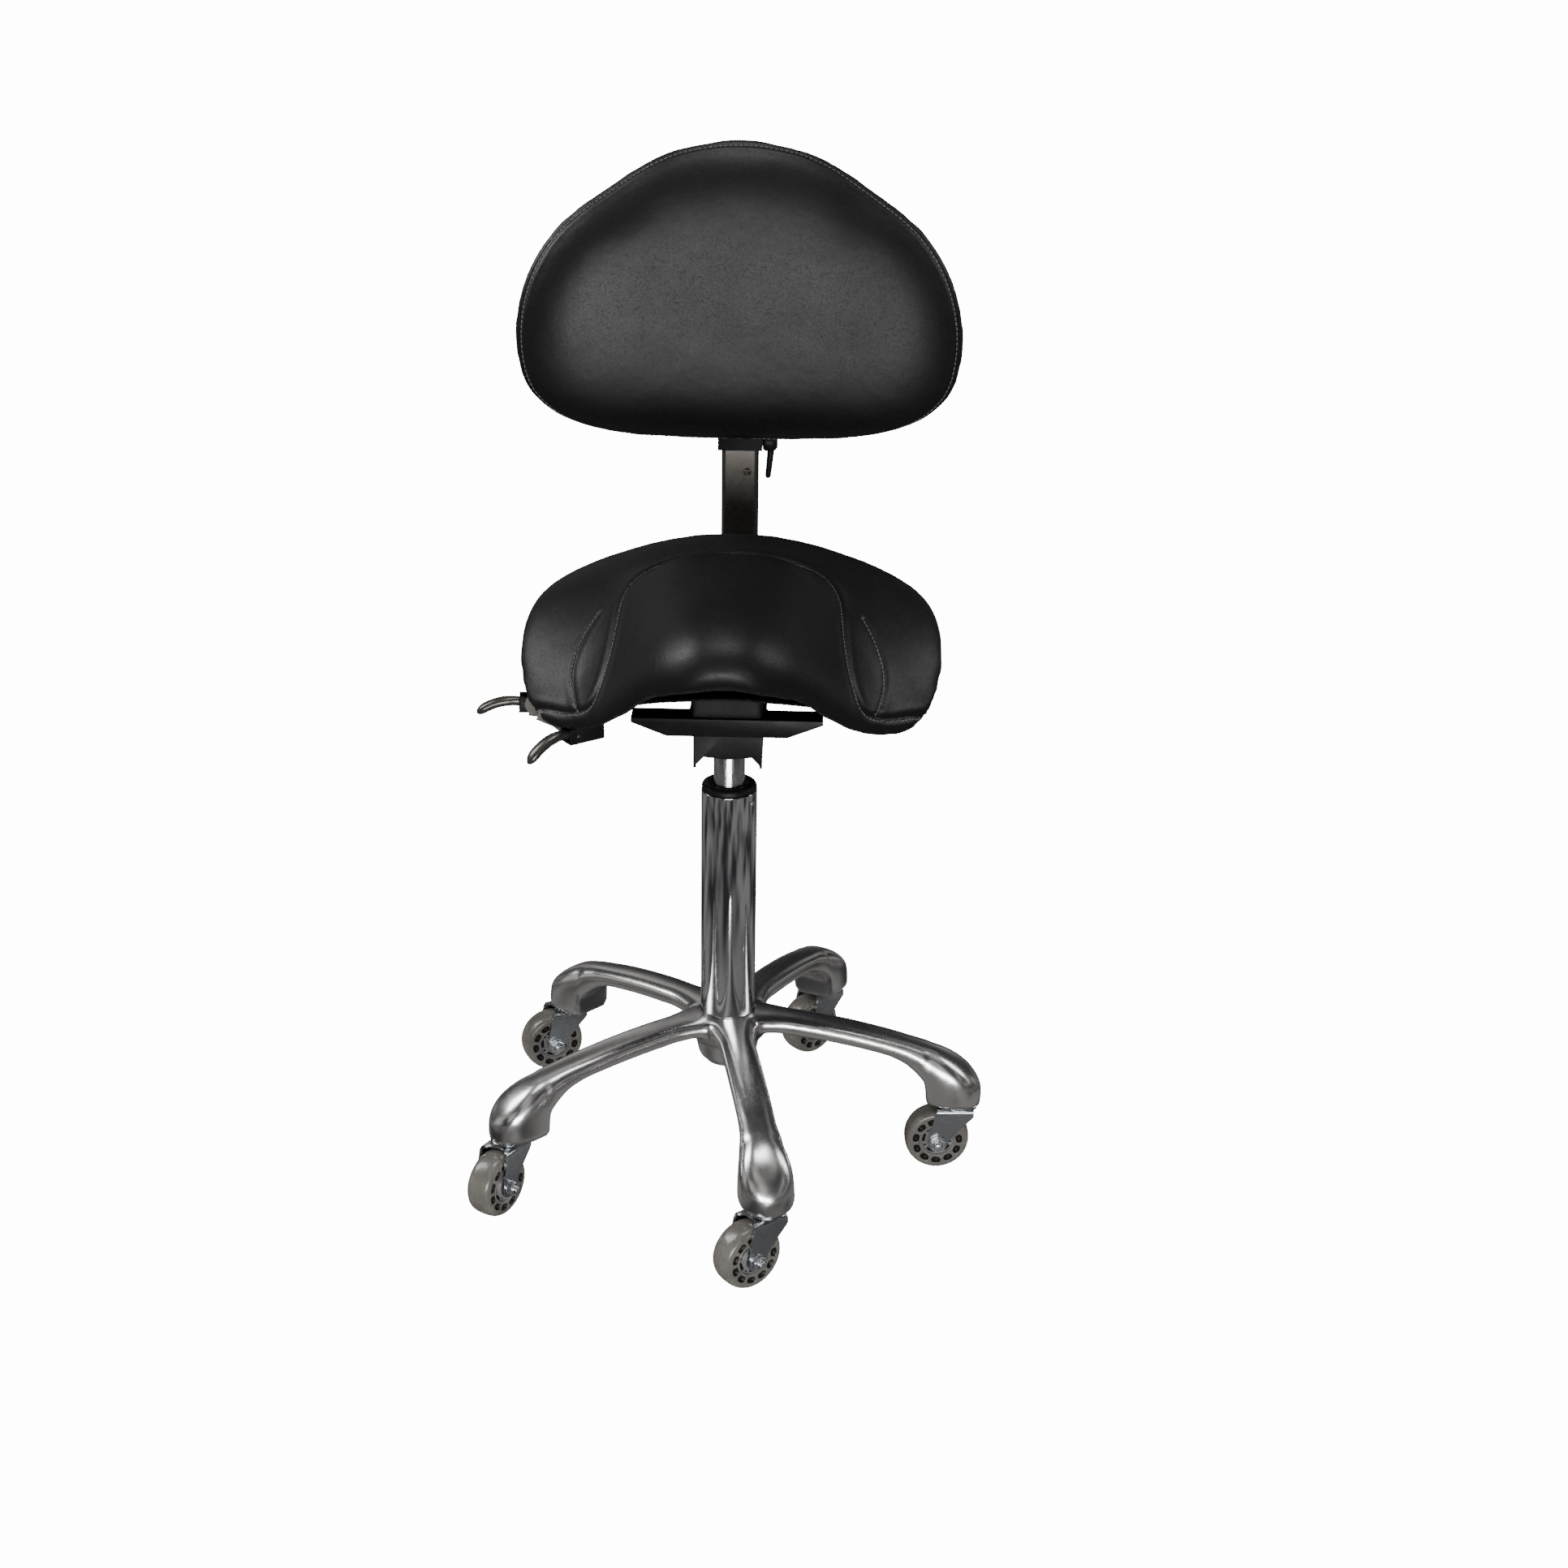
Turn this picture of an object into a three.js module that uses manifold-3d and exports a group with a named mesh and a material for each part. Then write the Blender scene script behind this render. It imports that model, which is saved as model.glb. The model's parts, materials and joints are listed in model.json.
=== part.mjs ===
// Saddle stool for a dentist: five-star base on casters, gas column, tilting saddle seat and backrest.
// Millimetres, +Z up. The origin is on the floor under the column; the sitter faces -Y.
import * as THREE from "three";
import { mergeVertices } from "three/addons/utils/BufferGeometryUtils.js";
import Module from "manifold-3d";

const wasm = await Module();
wasm.setup();

// ---------------------------------------------------------------- driving dimensions
const CLEAR = 0.3; // gap kept between pieces that touch or run in each other
const ROUND_SIDES = 28;
const SMALL_SIDES = 12;
const THROUGH = 1; // extra length of a cutting tool past the face it opens

// casters
const WHEEL_D = 60;
const WHEEL_W = 24;
const CORE_D = 33;
const WHEEL_SIDES = 20;
const BEARING_BORE_D = 8.6;
const TRAIL = 21.5; // axle behind the swivel axis
const AXLE_D = 8;
const NUT_AF = 13;
const NUT_H = 6;
const BOLT_TAIL = 3; // thread past the nut
const FORK_T = 2.5;
const FORK_SIDE_CLEAR = 1.2; // wheel face to fork leg
const FORK_TOP_CLEAR = 2.3; // tyre to fork crown
const RACE_H = 3; // swivel race between fork crown and foot
const RACE_D = 36;
const STEM_D = 11;
const STEM_L = 24; // length up inside the foot
const CASTER_COUNT = 5;
const CASTER_SWIVEL = [-143, -177, -138, -156, -121]; // rest direction of each trail, degrees from +X

// star base
const STEM_CIRCLE_R = 219.5;
const BASE_TURN = 11.2; // first arm, degrees from -Y toward +X
const FOOT_R = 24; // half width and nose radius of each foot
const ARM_W = 33;
const ARM_H = 17;
const ROOT_FLARE = 6; // extra half width where an arm joins the hub
const HUB_TOP_Z = 145.2;
const HUB_TOP_R = 25.4;
const HUB_FLARE_R = 38;
const HUB_BOTTOM_Z = 97;
const SPIGOT_R = 21.5; // narrowed lower end of the column inside the hub

// column and gas spring
const COLUMN_R = 25;
const COLUMN_WALL = 3;
const COLUMN_L = 221.4; // visible length above the hub
const BUSH_FLANGE_H = 5.5;
const BUSH_L = 60;
const CYL_R = 14;
const CYL_TAPER = 0.8; // radius lost over the socket cone
const CYL_SHOW = 31.6; // cylinder seen between the bush and the cone at the lowest setting
const CONE_L = 38;
const LIFT = 130;
const ROD_R = 5;
const PIN_R = 4;
const PIN_H = 4;
const PIN_STROKE = 3;

// tilt mechanism
const HOUSING_W = 60;
const HOUSING_FRONT = -45;
const HOUSING_REAR = 80;
const SHEET_T = 2.5;
const SOCKET_WALL = 5;
const TILT_PIN_R = 4;
const TILT_PIN_Y = -25;
const FRAME_PLATE_T = 3;
const FRONT_BAR_HALF = 82;
const REAR_BAR_HALF = 95;
const BAR_DEPTH = 25;
const FLANGE_H = 13;
const LIP_SHARE = 0.63; // straight part of a cross bar's lower edge

// saddle
const SEAT_HALF_W = 190;
const SEAT_MID_Y = 22;
const SEAT_REAR_Y = 158;
const SEAT_FRONT_Y = -176;
const SEAT_NARROW = 0.66; // share of width lost at the front
const SADDLE_STATIONS = [165, 0, -170]; // y where the next six values hold: rear, middle, front
const SEAT_REAR_Z = 551; // height of the widest line on the centre plane
const SEAT_MID_Z = 497;
const SEAT_FRONT_Z = 517;
const DROOP_REAR = 58; // fall from the spine to a point SEAT_HALF_W out
const DROOP_MID = 45;
const DROOP_FRONT = 225;
const DROOP_POWER = 1.8;
const PAD_T = 32;
const POMMEL_H = 60;
const POMMEL_W = 64;
const PAD_BELOW = 5;
const SHELL_T = 8;
const SHELL_INSET = 0.9; // shell outline as a share of the cushion outline
const SEAT_SIDES = 32;
const SEAT_RINGS = 14;

// levers under the saddle
const LEVER_L = 46;
const LEVER_DROOP = 13;
const LEVER_HALF_W = 6;
const LEVER_HALF_T = 4;
const LEVER_PIN_R = 1.5;
const LEVER_MOUNT = { rear: 26, front: 8, w: 16, below: 7, above: 7 };
const HEIGHT_LEVER = { x: -0.95 * SEAT_HALF_W, y: 26, drop: 15, turn: 184 };
const TILT_LEVER = { x: -0.7 * SEAT_HALF_W, y: -46, drop: 9, turn: 216 };

// backrest
const BAR_W = 35;
const BAR_D = 20;
const BAR_WALL = 2;
const BAR_CORNER = 4.5;
const BAR_Y = 240;
const BAR_BEND_R = 45;
const BAR_TOP_Z = 800;
const BAR_IN_FRAME = 40;
const CARRIAGE_Z = 613;
const CARRIAGE_H = 92;
const CARRIAGE_WALL = 3;
const BRACKET = { w: 110, h: 64, t: 4 };
const BACK_HALF_W = 206;
const BACK_Z = 735; // height of the widest line
const BACK_UP = 172;
const BACK_DOWN = 109;
const BACK_PAD_T = 42;
const BACK_SHELL_T = 9;
const BACK_PAD_REAR = 5; // padding that bulges behind the widest line
const BACK_SHELL_GAP = 1.2; // room for the facets of the two curved faces
const BACK_SHELL_INSET = 0.93; // shell outline as a share of the cushion outline
const BACK_WRAP = 28; // how far the sides come forward
const BACK_SIDES = 32;
const BACK_RINGS = 12;
const CLAMP_Z = 619;
const CLAMP_STUD_R = 3;
const CLAMP_HUB_R = 9;
const CLAMP_HUB_L = 14;
const CLAMP_ARM_L = 36;
const STOP_Z = 592;

// ---------------------------------------------------------------- derived places
const AXLE_Z = WHEEL_D / 2;
const CROWN_Z = WHEEL_D + FORK_TOP_CLEAR; // underside of the fork crown
const CROWN_TOP = CROWN_Z + FORK_T;
const FOOT_Z = CROWN_TOP + CLEAR + RACE_H; // underside of the feet
const LEG_IN = WHEEL_W / 2 + FORK_SIDE_CLEAR;
const LEG_OUT = LEG_IN + FORK_T;
const COLUMN_TOP = HUB_TOP_Z + COLUMN_L;
const BUSH_TOP = COLUMN_TOP + CLEAR + BUSH_FLANGE_H;
const CONE_Z = BUSH_TOP + CYL_SHOW;
const CYL_TOP = CONE_Z + CONE_L;
const CYL_BOTTOM = HUB_BOTTOM_Z + 43;
const DECK_TOP = CYL_TOP - 4; // plate of the housing that the socket is welded into
const HOUSING_LIP = CONE_Z + 8; // lower edge of the housing walls
const HOUSING_EAR = CONE_Z; // lower tips of the front corners
const TILT_PIN_Z = DECK_TOP + 10;
const FRAME_Z = TILT_PIN_Z + TILT_PIN_R + 4; // underside of the frame plate
const FRAME_TOP = FRAME_Z + FRAME_PLATE_T;
const LUG_IN = HOUSING_W / 2 + CLEAR;
const BAR_LOW_Z = FRAME_Z - BAR_D / 2 - CLEAR;
const FRAME_REAR = HOUSING_REAR + 10;
const ROD_TOP = CYL_BOTTOM + LIFT + 15;
const ROCKER_HALF_W = HOUSING_W / 2 - SHEET_T - 12;
const ARM_PIN_R = 2.5;
const ARM_PIN_Y = 31;
const ARM_PIN_Z = CYL_TOP + PIN_H + 0.5 + ARM_PIN_R - 0.5;
const FOOT_IN = STEM_CIRCLE_R - 31.5; // inner face of each foot

// ---------------------------------------------------------------- helpers
const rad = (deg) => THREE.MathUtils.degToRad(deg);

/** Solid of manifold-3d from a closed geometry, with its faces turned to point out. */
function solid(geometry) {
  const bare = geometry.index ? geometry.toNonIndexed() : geometry.clone();
  bare.deleteAttribute("normal");
  bare.deleteAttribute("uv");
  const merged = mergeVertices(bare, 1e-3);
  const triangles = [];
  const index = merged.index.array;
  const corner = (i) => new THREE.Vector3().fromBufferAttribute(merged.attributes.position, i);
  let volume = 0;
  for (let i = 0; i < index.length; i += 3) {
    const [a, b, c] = [index[i], index[i + 1], index[i + 2]];
    if (a === b || b === c || c === a) continue;
    triangles.push([a, b, c]);
    volume += corner(a).dot(corner(b).cross(corner(c)));
  }
  if (volume < 0) triangles.forEach((triangle) => triangle.reverse());
  return new wasm.Manifold(
    new wasm.Mesh({
      numProp: 3,
      vertProperties: new Float32Array(merged.attributes.position.array),
      triVerts: new Uint32Array(triangles.flat()),
    }),
  );
}

/** Geometry from a solid of manifold-3d. */
function geometryOf(body) {
  const out = body.getMesh();
  const geometry = new THREE.BufferGeometry();
  geometry.setAttribute("position", new THREE.BufferAttribute(new Float32Array(out.vertProperties), 3));
  geometry.setIndex(new THREE.BufferAttribute(new Uint32Array(out.triVerts), 1));
  geometry.computeVertexNormals();
  return geometry;
}

const union = (...parts) => parts.reduce((a, b) => a.add(b));
const cut = (from, ...tools) => tools.reduce((a, b) => a.subtract(b), from);

/** Box between two corners. */
function box(x0, x1, y0, y1, z0, z1) {
  const geometry = new THREE.BoxGeometry(x1 - x0, y1 - y0, z1 - z0);
  geometry.translate((x0 + x1) / 2, (y0 + y1) / 2, (z0 + z1) / 2);
  return solid(geometry);
}

/** Solid of revolution about Z from [radius, z] pairs that start and end on the axis. */
function lathe(profile, segments = ROUND_SIDES) {
  const geometry = new THREE.LatheGeometry(profile.map(([r, z]) => new THREE.Vector2(r, z)), segments);
  geometry.rotateX(Math.PI / 2);
  return solid(geometry);
}

/** Rod between z0 and z1 about Z. */
const rod = (r, z0, z1, segments = ROUND_SIDES) => lathe([[0, z0], [r, z0], [r, z1], [0, z1]], segments);

/** Ring between z0 and z1 about Z. */
function ring(rOut, rIn, z0, z1, segments) {
  return cut(rod(rOut, z0, z1, segments), rod(rIn, z0 - THROUGH, z1 + THROUGH, segments));
}

/** Plate with a polygon outline in XZ, between two values of Y. */
function plateXZ(points, y0, y1) {
  const shape = new THREE.Shape(points.map(([x, z]) => new THREE.Vector2(x, z)));
  const geometry = new THREE.ExtrudeGeometry(shape, { depth: y1 - y0, bevelEnabled: false });
  geometry.rotateX(Math.PI / 2);
  geometry.translate(0, y1, 0);
  return solid(geometry);
}

/** Rod along X or Y, from a rod along Z. */
const alongX = (body) => body.rotate([0, 90, 0]);
const alongY = (body) => body.rotate([-90, 0, 0]);

/** Closed body of rings: place(t, angle) gives the point on ring t (0 to 1) at an angle. */
function ringBody(steps, sides, place) {
  const geometry = new THREE.CylinderGeometry(1, 1, 1, sides, steps);
  const at = geometry.attributes.position;
  for (let i = 0; i < at.count; i += 1) {
    const t = 0.5 - at.getY(i);
    const onRim = Math.hypot(at.getX(i), at.getZ(i)) > 0.5;
    const p = place(t, Math.atan2(at.getX(i), at.getZ(i)), onRim ? 1 : 0);
    at.setXYZ(i, p.x, p.y, p.z);
  }
  return solid(geometry);
}

/** Smooth step from 0 to 1. */
const smooth = (t) => THREE.MathUtils.smoothstep(t, 0, 1);

/** Signed power, for superellipses. */
const spow = (v, p) => (Math.abs(v) < 1e-6 ? 0 : Math.sign(v) * Math.abs(v) ** p);

/** Value at y of the parabola through the saddle's rear, middle and front stations. */
function through(y, atRear, atMid, atFront) {
  const [r, m, f] = SADDLE_STATIONS;
  return (
    (atRear * (y - m) * (y - f)) / ((r - m) * (r - f)) +
    (atMid * (y - r) * (y - f)) / ((m - r) * (m - f)) +
    (atFront * (y - r) * (y - m)) / ((f - r) * (f - m))
  );
}

// ---------------------------------------------------------------- materials and nodes
const group = new THREE.Group();
const finish = (color, metalness, roughness) =>
  new THREE.MeshStandardMaterial({ color, metalness, roughness });
const FINISH = {
  leather: () => finish(0x1c1b1b, 0, 0.45),
  polished: () => finish(0xb9b8b6, 1, 0.15),
  chrome: () => finish(0xd0d0d0, 1, 0.06),
  zinc: () => finish(0xa9acb0, 1, 0.3),
  steel: () => finish(0x8d8f92, 1, 0.35),
  black: () => finish(0x151515, 0.2, 0.5),
  gunmetal: () => finish(0x3a3632, 0.8, 0.35),
  plastic: () => finish(0x161616, 0, 0.55),
  tyre: () => finish(0xa39d92, 0, 0.3),
  core: () => finish(0x7d7c79, 0, 0.45),
};

/** Adds a named mesh to a parent group. */
function add(name, body, look, parent = group) {
  const mesh = new THREE.Mesh(body.isBufferGeometry ? body : geometryOf(body), FINISH[look]());
  mesh.name = name;
  parent.add(mesh);
  return mesh;
}

// ---------------------------------------------------------------- star base
/** Top and bottom of an arm at a distance from the column axis. */
function armTop(r) {
  const slope = HUB_TOP_Z + 0.8 - 0.05 * (r - 40) - 0.00075 * (r - 40) ** 2;
  const nose = STEM_CIRCLE_R - 34;
  const span = STEM_CIRCLE_R + FOOT_R - 5 - nose;
  const drop = THREE.MathUtils.clamp((r - nose) / span, 0, 1);
  return slope - (slope - FOOT_Z) * (1 - Math.sqrt(1 - 0.86 * drop ** 2.6));
}

function armBottom(r) {
  const t = THREE.MathUtils.clamp((r - (FOOT_IN - 50)) / 50, 0, 1);
  const arch = armTop(r) - ARM_H;
  const low = FOOT_Z + 20;
  return r >= FOOT_IN ? FOOT_Z : arch - (arch - low) * t ** 3.2;
}

function armHalfWidth(r) {
  const foot = smooth((r - FOOT_IN + 23) / 45);
  const root = 1 - smooth((r - HUB_TOP_R) / 35);
  return ARM_W / 2 + (FOOT_R - ARM_W / 2) * foot + ROOT_FLARE * root;
}

/** One arm along +X, with a crowned top, an arched underside and a round foot. */
function arm() {
  const rEnd = STEM_CIRCLE_R + FOOT_R - 5.5;
  const foot = STEM_CIRCLE_R - 6;
  const stations = [
    HUB_TOP_R - 5, 50, 85, 120, 150, 172, FOOT_IN - 0.1, FOOT_IN,
    foot - 10, foot + 2, foot + 13, rEnd - 4, rEnd,
  ];
  return ringBody(stations.length - 1, 10, (t, angle, rim) => {
    const r = stations[Math.round(t * (stations.length - 1))];
    const top = armTop(r);
    const bottom = armBottom(r);
    const past = THREE.MathUtils.clamp((r - foot) / (rEnd - foot), 0, 1);
    const half = armHalfWidth(r) * Math.sqrt(Math.max(1 - past ** 2.2, 0.04));
    const y = rim * half * spow(Math.cos(angle), 0.72);
    const s = rim * spow(Math.sin(angle), Math.sin(angle) > 0 ? 0.72 : 0.25);
    return { x: r, y, z: (top + bottom) / 2 + (s * (top - bottom)) / 2 };
  });
}

function starBase() {
  const hub = lathe([
    [0, HUB_BOTTOM_Z], [26, HUB_BOTTOM_Z], [28, HUB_BOTTOM_Z + 8], [30, 118], [HUB_FLARE_R, 124],
    [HUB_FLARE_R - 2, 131], [29, 138], [HUB_TOP_R, HUB_TOP_Z], [0, HUB_TOP_Z],
  ]);
  let star = hub;
  for (let i = 0; i < CASTER_COUNT; i += 1) star = star.add(arm().rotate([0, 0, armAngle(i)]));
  const stemHole = rod(STEM_D / 2 + CLEAR, FOOT_Z - 1, FOOT_Z + STEM_L + 2, 16);
  for (let i = 0; i < CASTER_COUNT; i += 1) {
    const [x, y] = stemPlace(i);
    star = star.subtract(stemHole.translate([x, y, 0]));
  }
  return cut(star, rod(SPIGOT_R + CLEAR, 0, COLUMN_TOP), rod(COLUMN_R + CLEAR, HUB_TOP_Z, COLUMN_TOP));
}

/** Direction of an arm in degrees from +X. */
function armAngle(i) {
  return -90 + BASE_TURN + (i * 360) / CASTER_COUNT;
}

function stemPlace(i) {
  const a = rad(armAngle(i));
  return [STEM_CIRCLE_R * Math.cos(a), STEM_CIRCLE_R * Math.sin(a)];
}

// ---------------------------------------------------------------- casters
/** Stem that stays in the foot, with the upper ring of the swivel race under it. */
function casterStem() {
  const top = FOOT_Z + STEM_L;
  return lathe([
    [0, CROWN_TOP + CLEAR], [RACE_D / 2 - 4, CROWN_TOP + CLEAR],
    [RACE_D / 2, CROWN_TOP + RACE_H - 1.2],
    [RACE_D / 2 - 1, FOOT_Z - CLEAR], [STEM_D / 2, FOOT_Z - CLEAR], [STEM_D / 2, top - 2],
    [STEM_D / 2 - 1.5, top], [0, top],
  ], SMALL_SIDES);
}

/** Pressed fork: a flat crown and two legs that taper to the axle. */
function casterFork() {
  const leg = [
    [-17, CROWN_TOP], [-16, CROWN_Z - 12], [TRAIL - 9, AXLE_Z - 3], [TRAIL - 6, AXLE_Z - 7.5],
    [TRAIL, AXLE_Z - 9.5],
    [TRAIL + 6, AXLE_Z - 7.5], [TRAIL + 8.5, AXLE_Z - 2], [TRAIL + 3.5, CROWN_Z - 2],
    [TRAIL + 1.5, CROWN_TOP],
  ];
  const crownShape = new THREE.Shape();
  crownShape.moveTo(TRAIL + 1.5, -LEG_OUT);
  crownShape.quadraticCurveTo(TRAIL - 9, 0, TRAIL + 1.5, LEG_OUT);
  crownShape.lineTo(-8, LEG_OUT);
  crownShape.quadraticCurveTo(-20, LEG_OUT - 3, -20, 0);
  crownShape.quadraticCurveTo(-20, 3 - LEG_OUT, -8, -LEG_OUT);
  const plate = { depth: FORK_T, bevelEnabled: false, curveSegments: 3 };
  const crown = new THREE.ExtrudeGeometry(crownShape, plate);
  crown.translate(0, 0, CROWN_Z);
  const bore = alongY(rod(AXLE_D / 2 + CLEAR, -2 * LEG_OUT, 2 * LEG_OUT, SMALL_SIDES));
  const legs = plateXZ(leg, LEG_IN, LEG_OUT).add(plateXZ(leg, -LEG_OUT, -LEG_IN));
  return cut(solid(crown).add(legs), bore.translate([TRAIL, 0, AXLE_Z]));
}

/** Axle bolt: round head on one side, thread past the nut on the other. */
function axleBolt() {
  const head = LEG_OUT + CLEAR;
  return alongY(
    lathe([
      [0, -head - 3], [4.5, -head - 3], [6.5, -head - 1.5], [6.5, -head], [AXLE_D / 2, -head],
      [AXLE_D / 2, head + NUT_H + BOLT_TAIL - 1], [AXLE_D / 2 - 1, head + NUT_H + BOLT_TAIL],
      [0, head + NUT_H + BOLT_TAIL],
    ], SMALL_SIDES),
  ).translate([TRAIL, 0, AXLE_Z]);
}

function axleNut() {
  const hex = rod(NUT_AF / 2 / Math.cos(Math.PI / 6), LEG_OUT + CLEAR, LEG_OUT + CLEAR + NUT_H, 6);
  const nut = hex.subtract(rod(AXLE_D / 2 + CLEAR, 0, 2 * LEG_OUT, SMALL_SIDES));
  return alongY(nut).translate([TRAIL, 0, AXLE_Z]);
}

/** Soft tyre with a rounded tread. */
function tyre() {
  const [r, w] = [WHEEL_D / 2, WHEEL_W / 2];
  const inner = CORE_D / 2 + CLEAR;
  const tread = [[0.8, -1], [0.93, -0.86], [1, -0.45], [1, 0.45], [0.93, 0.86], [0.8, 1]];
  const body = lathe([[0, -w], ...tread.map(([a, b]) => [a * r, b * w]), [0, w]], WHEEL_SIDES);
  return alongY(body.subtract(rod(inner, -WHEEL_W, WHEEL_W, WHEEL_SIDES))).translate([TRAIL, 0, AXLE_Z]);
}

/** Hard centre of a wheel with its bearing seats. */
function wheelCore() {
  const r = CORE_D / 2;
  const w = WHEEL_W / 2 - 3.5;
  const hubW = WHEEL_W / 2 - 0.2;
  const body = lathe([
    [0, -hubW], [9, -hubW], [10.5, -w], [r, -w], [r, w], [10.5, w], [9, hubW], [0, hubW],
  ], WHEEL_SIDES);
  const bore = rod(BEARING_BORE_D / 2, -WHEEL_W, WHEEL_W, SMALL_SIDES);
  return alongY(body.subtract(bore)).translate([TRAIL, 0, AXLE_Z]);
}

function addCasters() {
  for (let i = 0; i < CASTER_COUNT; i += 1) {
    const [x, y] = stemPlace(i);
    const place = new THREE.Group();
    place.position.set(x, y, 0);
    group.add(place);
    add(`caster_stem_${i + 1}`, casterStem(), "zinc", place);
    const swivel = new THREE.Group();
    swivel.rotation.z = rad(CASTER_SWIVEL[i]);
    place.add(swivel);
    add(`caster_fork_${i + 1}`, casterFork(), "zinc", swivel);
    add(`axle_bolt_${i + 1}`, axleBolt(), "zinc", swivel);
    add(`axle_nut_${i + 1}`, axleNut(), "zinc", swivel);
    add(`tyre_${i + 1}`, tyre(), "tyre", swivel);
    add(`wheel_core_${i + 1}`, wheelCore(), "core", swivel);
  }
}

// ---------------------------------------------------------------- column and gas spring
/** Outer tube with a shoulder on the hub and a floor that carries the spring. */
function columnTube() {
  const outside = lathe([
    [0, HUB_BOTTOM_Z - 3], [SPIGOT_R - 1, HUB_BOTTOM_Z - 3], [SPIGOT_R, HUB_BOTTOM_Z + 2],
    [SPIGOT_R, HUB_TOP_Z + CLEAR],
    [COLUMN_R, HUB_TOP_Z + CLEAR], [COLUMN_R, COLUMN_TOP], [0, COLUMN_TOP],
  ]);
  const inside = lathe([
    [0, HUB_BOTTOM_Z + 2], [SPIGOT_R - COLUMN_WALL, HUB_BOTTOM_Z + 2],
    [SPIGOT_R - COLUMN_WALL, HUB_TOP_Z + 10], [COLUMN_R - COLUMN_WALL, HUB_TOP_Z + 20],
    [COLUMN_R - COLUMN_WALL, COLUMN_TOP + 1], [0, COLUMN_TOP + 1],
  ]);
  return cut(outside, inside, rod(ROD_R + CLEAR, 0, 200, 16));
}

/** Plastic bush that guides the cylinder, with a rounded flange on the tube's mouth. */
function guideBush() {
  const sleeve = COLUMN_R - COLUMN_WALL - CLEAR;
  const flange = COLUMN_R - 0.4;
  const body = lathe([
    [0, COLUMN_TOP - BUSH_L], [sleeve, COLUMN_TOP - BUSH_L], [sleeve, COLUMN_TOP + CLEAR],
    [flange, COLUMN_TOP + CLEAR], [flange, BUSH_TOP - 2], [flange - 2, BUSH_TOP], [0, BUSH_TOP],
  ]);
  return body.subtract(rod(CYL_R + CLEAR, 0, BUSH_TOP + THROUGH));
}

/** Pressure cylinder: straight body, cone into the seat socket, blind bore for the rod. */
function gasCylinder() {
  const body = lathe([
    [0, CYL_BOTTOM], [CYL_R - 1, CYL_BOTTOM], [CYL_R, CYL_BOTTOM + 1], [CYL_R, CONE_Z],
    [CYL_R - CYL_TAPER, CYL_TOP], [0, CYL_TOP],
  ]);
  const bore = rod(ROD_R + CLEAR, CYL_BOTTOM - 1, ROD_TOP + 15, 16);
  const pinHole = rod(PIN_R + CLEAR, CYL_TOP - PIN_H - PIN_STROKE - 2 * CLEAR, CYL_TOP + 1, 16);
  return cut(body, bore, pinHole);
}

function addColumn() {
  add("column_tube", columnTube(), "chrome");
  add("guide_bush", guideBush(), "plastic");
  const clipZ = HUB_BOTTOM_Z - 6;
  add("piston_rod", lathe([
    [0, clipZ - 3], [ROD_R - 1, clipZ - 3], [ROD_R - 1, clipZ + 2], [ROD_R, clipZ + 2],
    [ROD_R, ROD_TOP], [0, ROD_TOP],
  ], 16), "steel");
  const floor = HUB_BOTTOM_Z + 2 + CLEAR;
  add("thrust_bearing", ring(13, ROD_R + CLEAR, floor, floor + 6, 24), "steel");
  add("retaining_clip", ring(9, ROD_R - 1 + CLEAR, clipZ, clipZ + 1.6, 16), "steel");
  add("gas_cylinder", gasCylinder(), "chrome");
  add("release_pin", rod(PIN_R, CYL_TOP - PIN_H, CYL_TOP + PIN_H, 16), "steel");
}

// ---------------------------------------------------------------- tilt mechanism
/** Round body about Z, turned to X and moved to the tilt pin or to the rocker's pin. */
const atTiltPin = (body) => alongX(body).translate([0, TILT_PIN_Y, TILT_PIN_Z]);
const atArmPin = (body) => alongX(body).translate([0, ARM_PIN_Y, ARM_PIN_Z]);

/** Welded box under the seat: side walls, front and rear wall, deck for the socket. */
function tiltHousing() {
  const half = HOUSING_W / 2;
  const wallTop = DECK_TOP + 6;
  const side = [
    [HOUSING_FRONT, HOUSING_EAR], [HOUSING_FRONT + 9, HOUSING_LIP], [HOUSING_REAR, HOUSING_LIP],
    [HOUSING_REAR, wallTop], [38, wallTop], [36, wallTop + 6], [26, wallTop + 6], [24, wallTop],
    [TILT_PIN_Y + 9, wallTop], [TILT_PIN_Y + 7, TILT_PIN_Z + 6.5], [TILT_PIN_Y - 7, TILT_PIN_Z + 6.5],
    [TILT_PIN_Y - 9, wallTop], [HOUSING_FRONT, wallTop],
  ];
  const walls = [half - SHEET_T, -half].map((x) =>
    plateXZ(side, 0, SHEET_T).rotate([0, 0, 90]).translate([x + SHEET_T, 0, 0]));
  const front = plateXZ([
    [-half, HOUSING_EAR], [9 - half, HOUSING_LIP + 2], [0, HOUSING_LIP], [half - 9, HOUSING_LIP + 2],
    [half, HOUSING_EAR], [half, wallTop], [7, wallTop], [0, wallTop - 4], [-7, wallTop], [-half, wallTop],
  ], HOUSING_FRONT, HOUSING_FRONT + SHEET_T);
  const rear = box(-half, half, HOUSING_REAR - SHEET_T, HOUSING_REAR, HOUSING_LIP, wallTop);
  const deck = box(-half, half, HOUSING_FRONT, HOUSING_REAR, DECK_TOP - 3, DECK_TOP);
  const tiltHole = atTiltPin(rod(TILT_PIN_R + CLEAR, -HOUSING_W, HOUSING_W, SMALL_SIDES));
  const armHole = atArmPin(rod(ARM_PIN_R + CLEAR, -HOUSING_W, HOUSING_W, SMALL_SIDES));
  return cut(
    union(...walls, front, rear, deck),
    rod(CYL_R + SOCKET_WALL + CLEAR, 0, FRAME_Z),
    tiltHole,
    armHole,
  );
}

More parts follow.
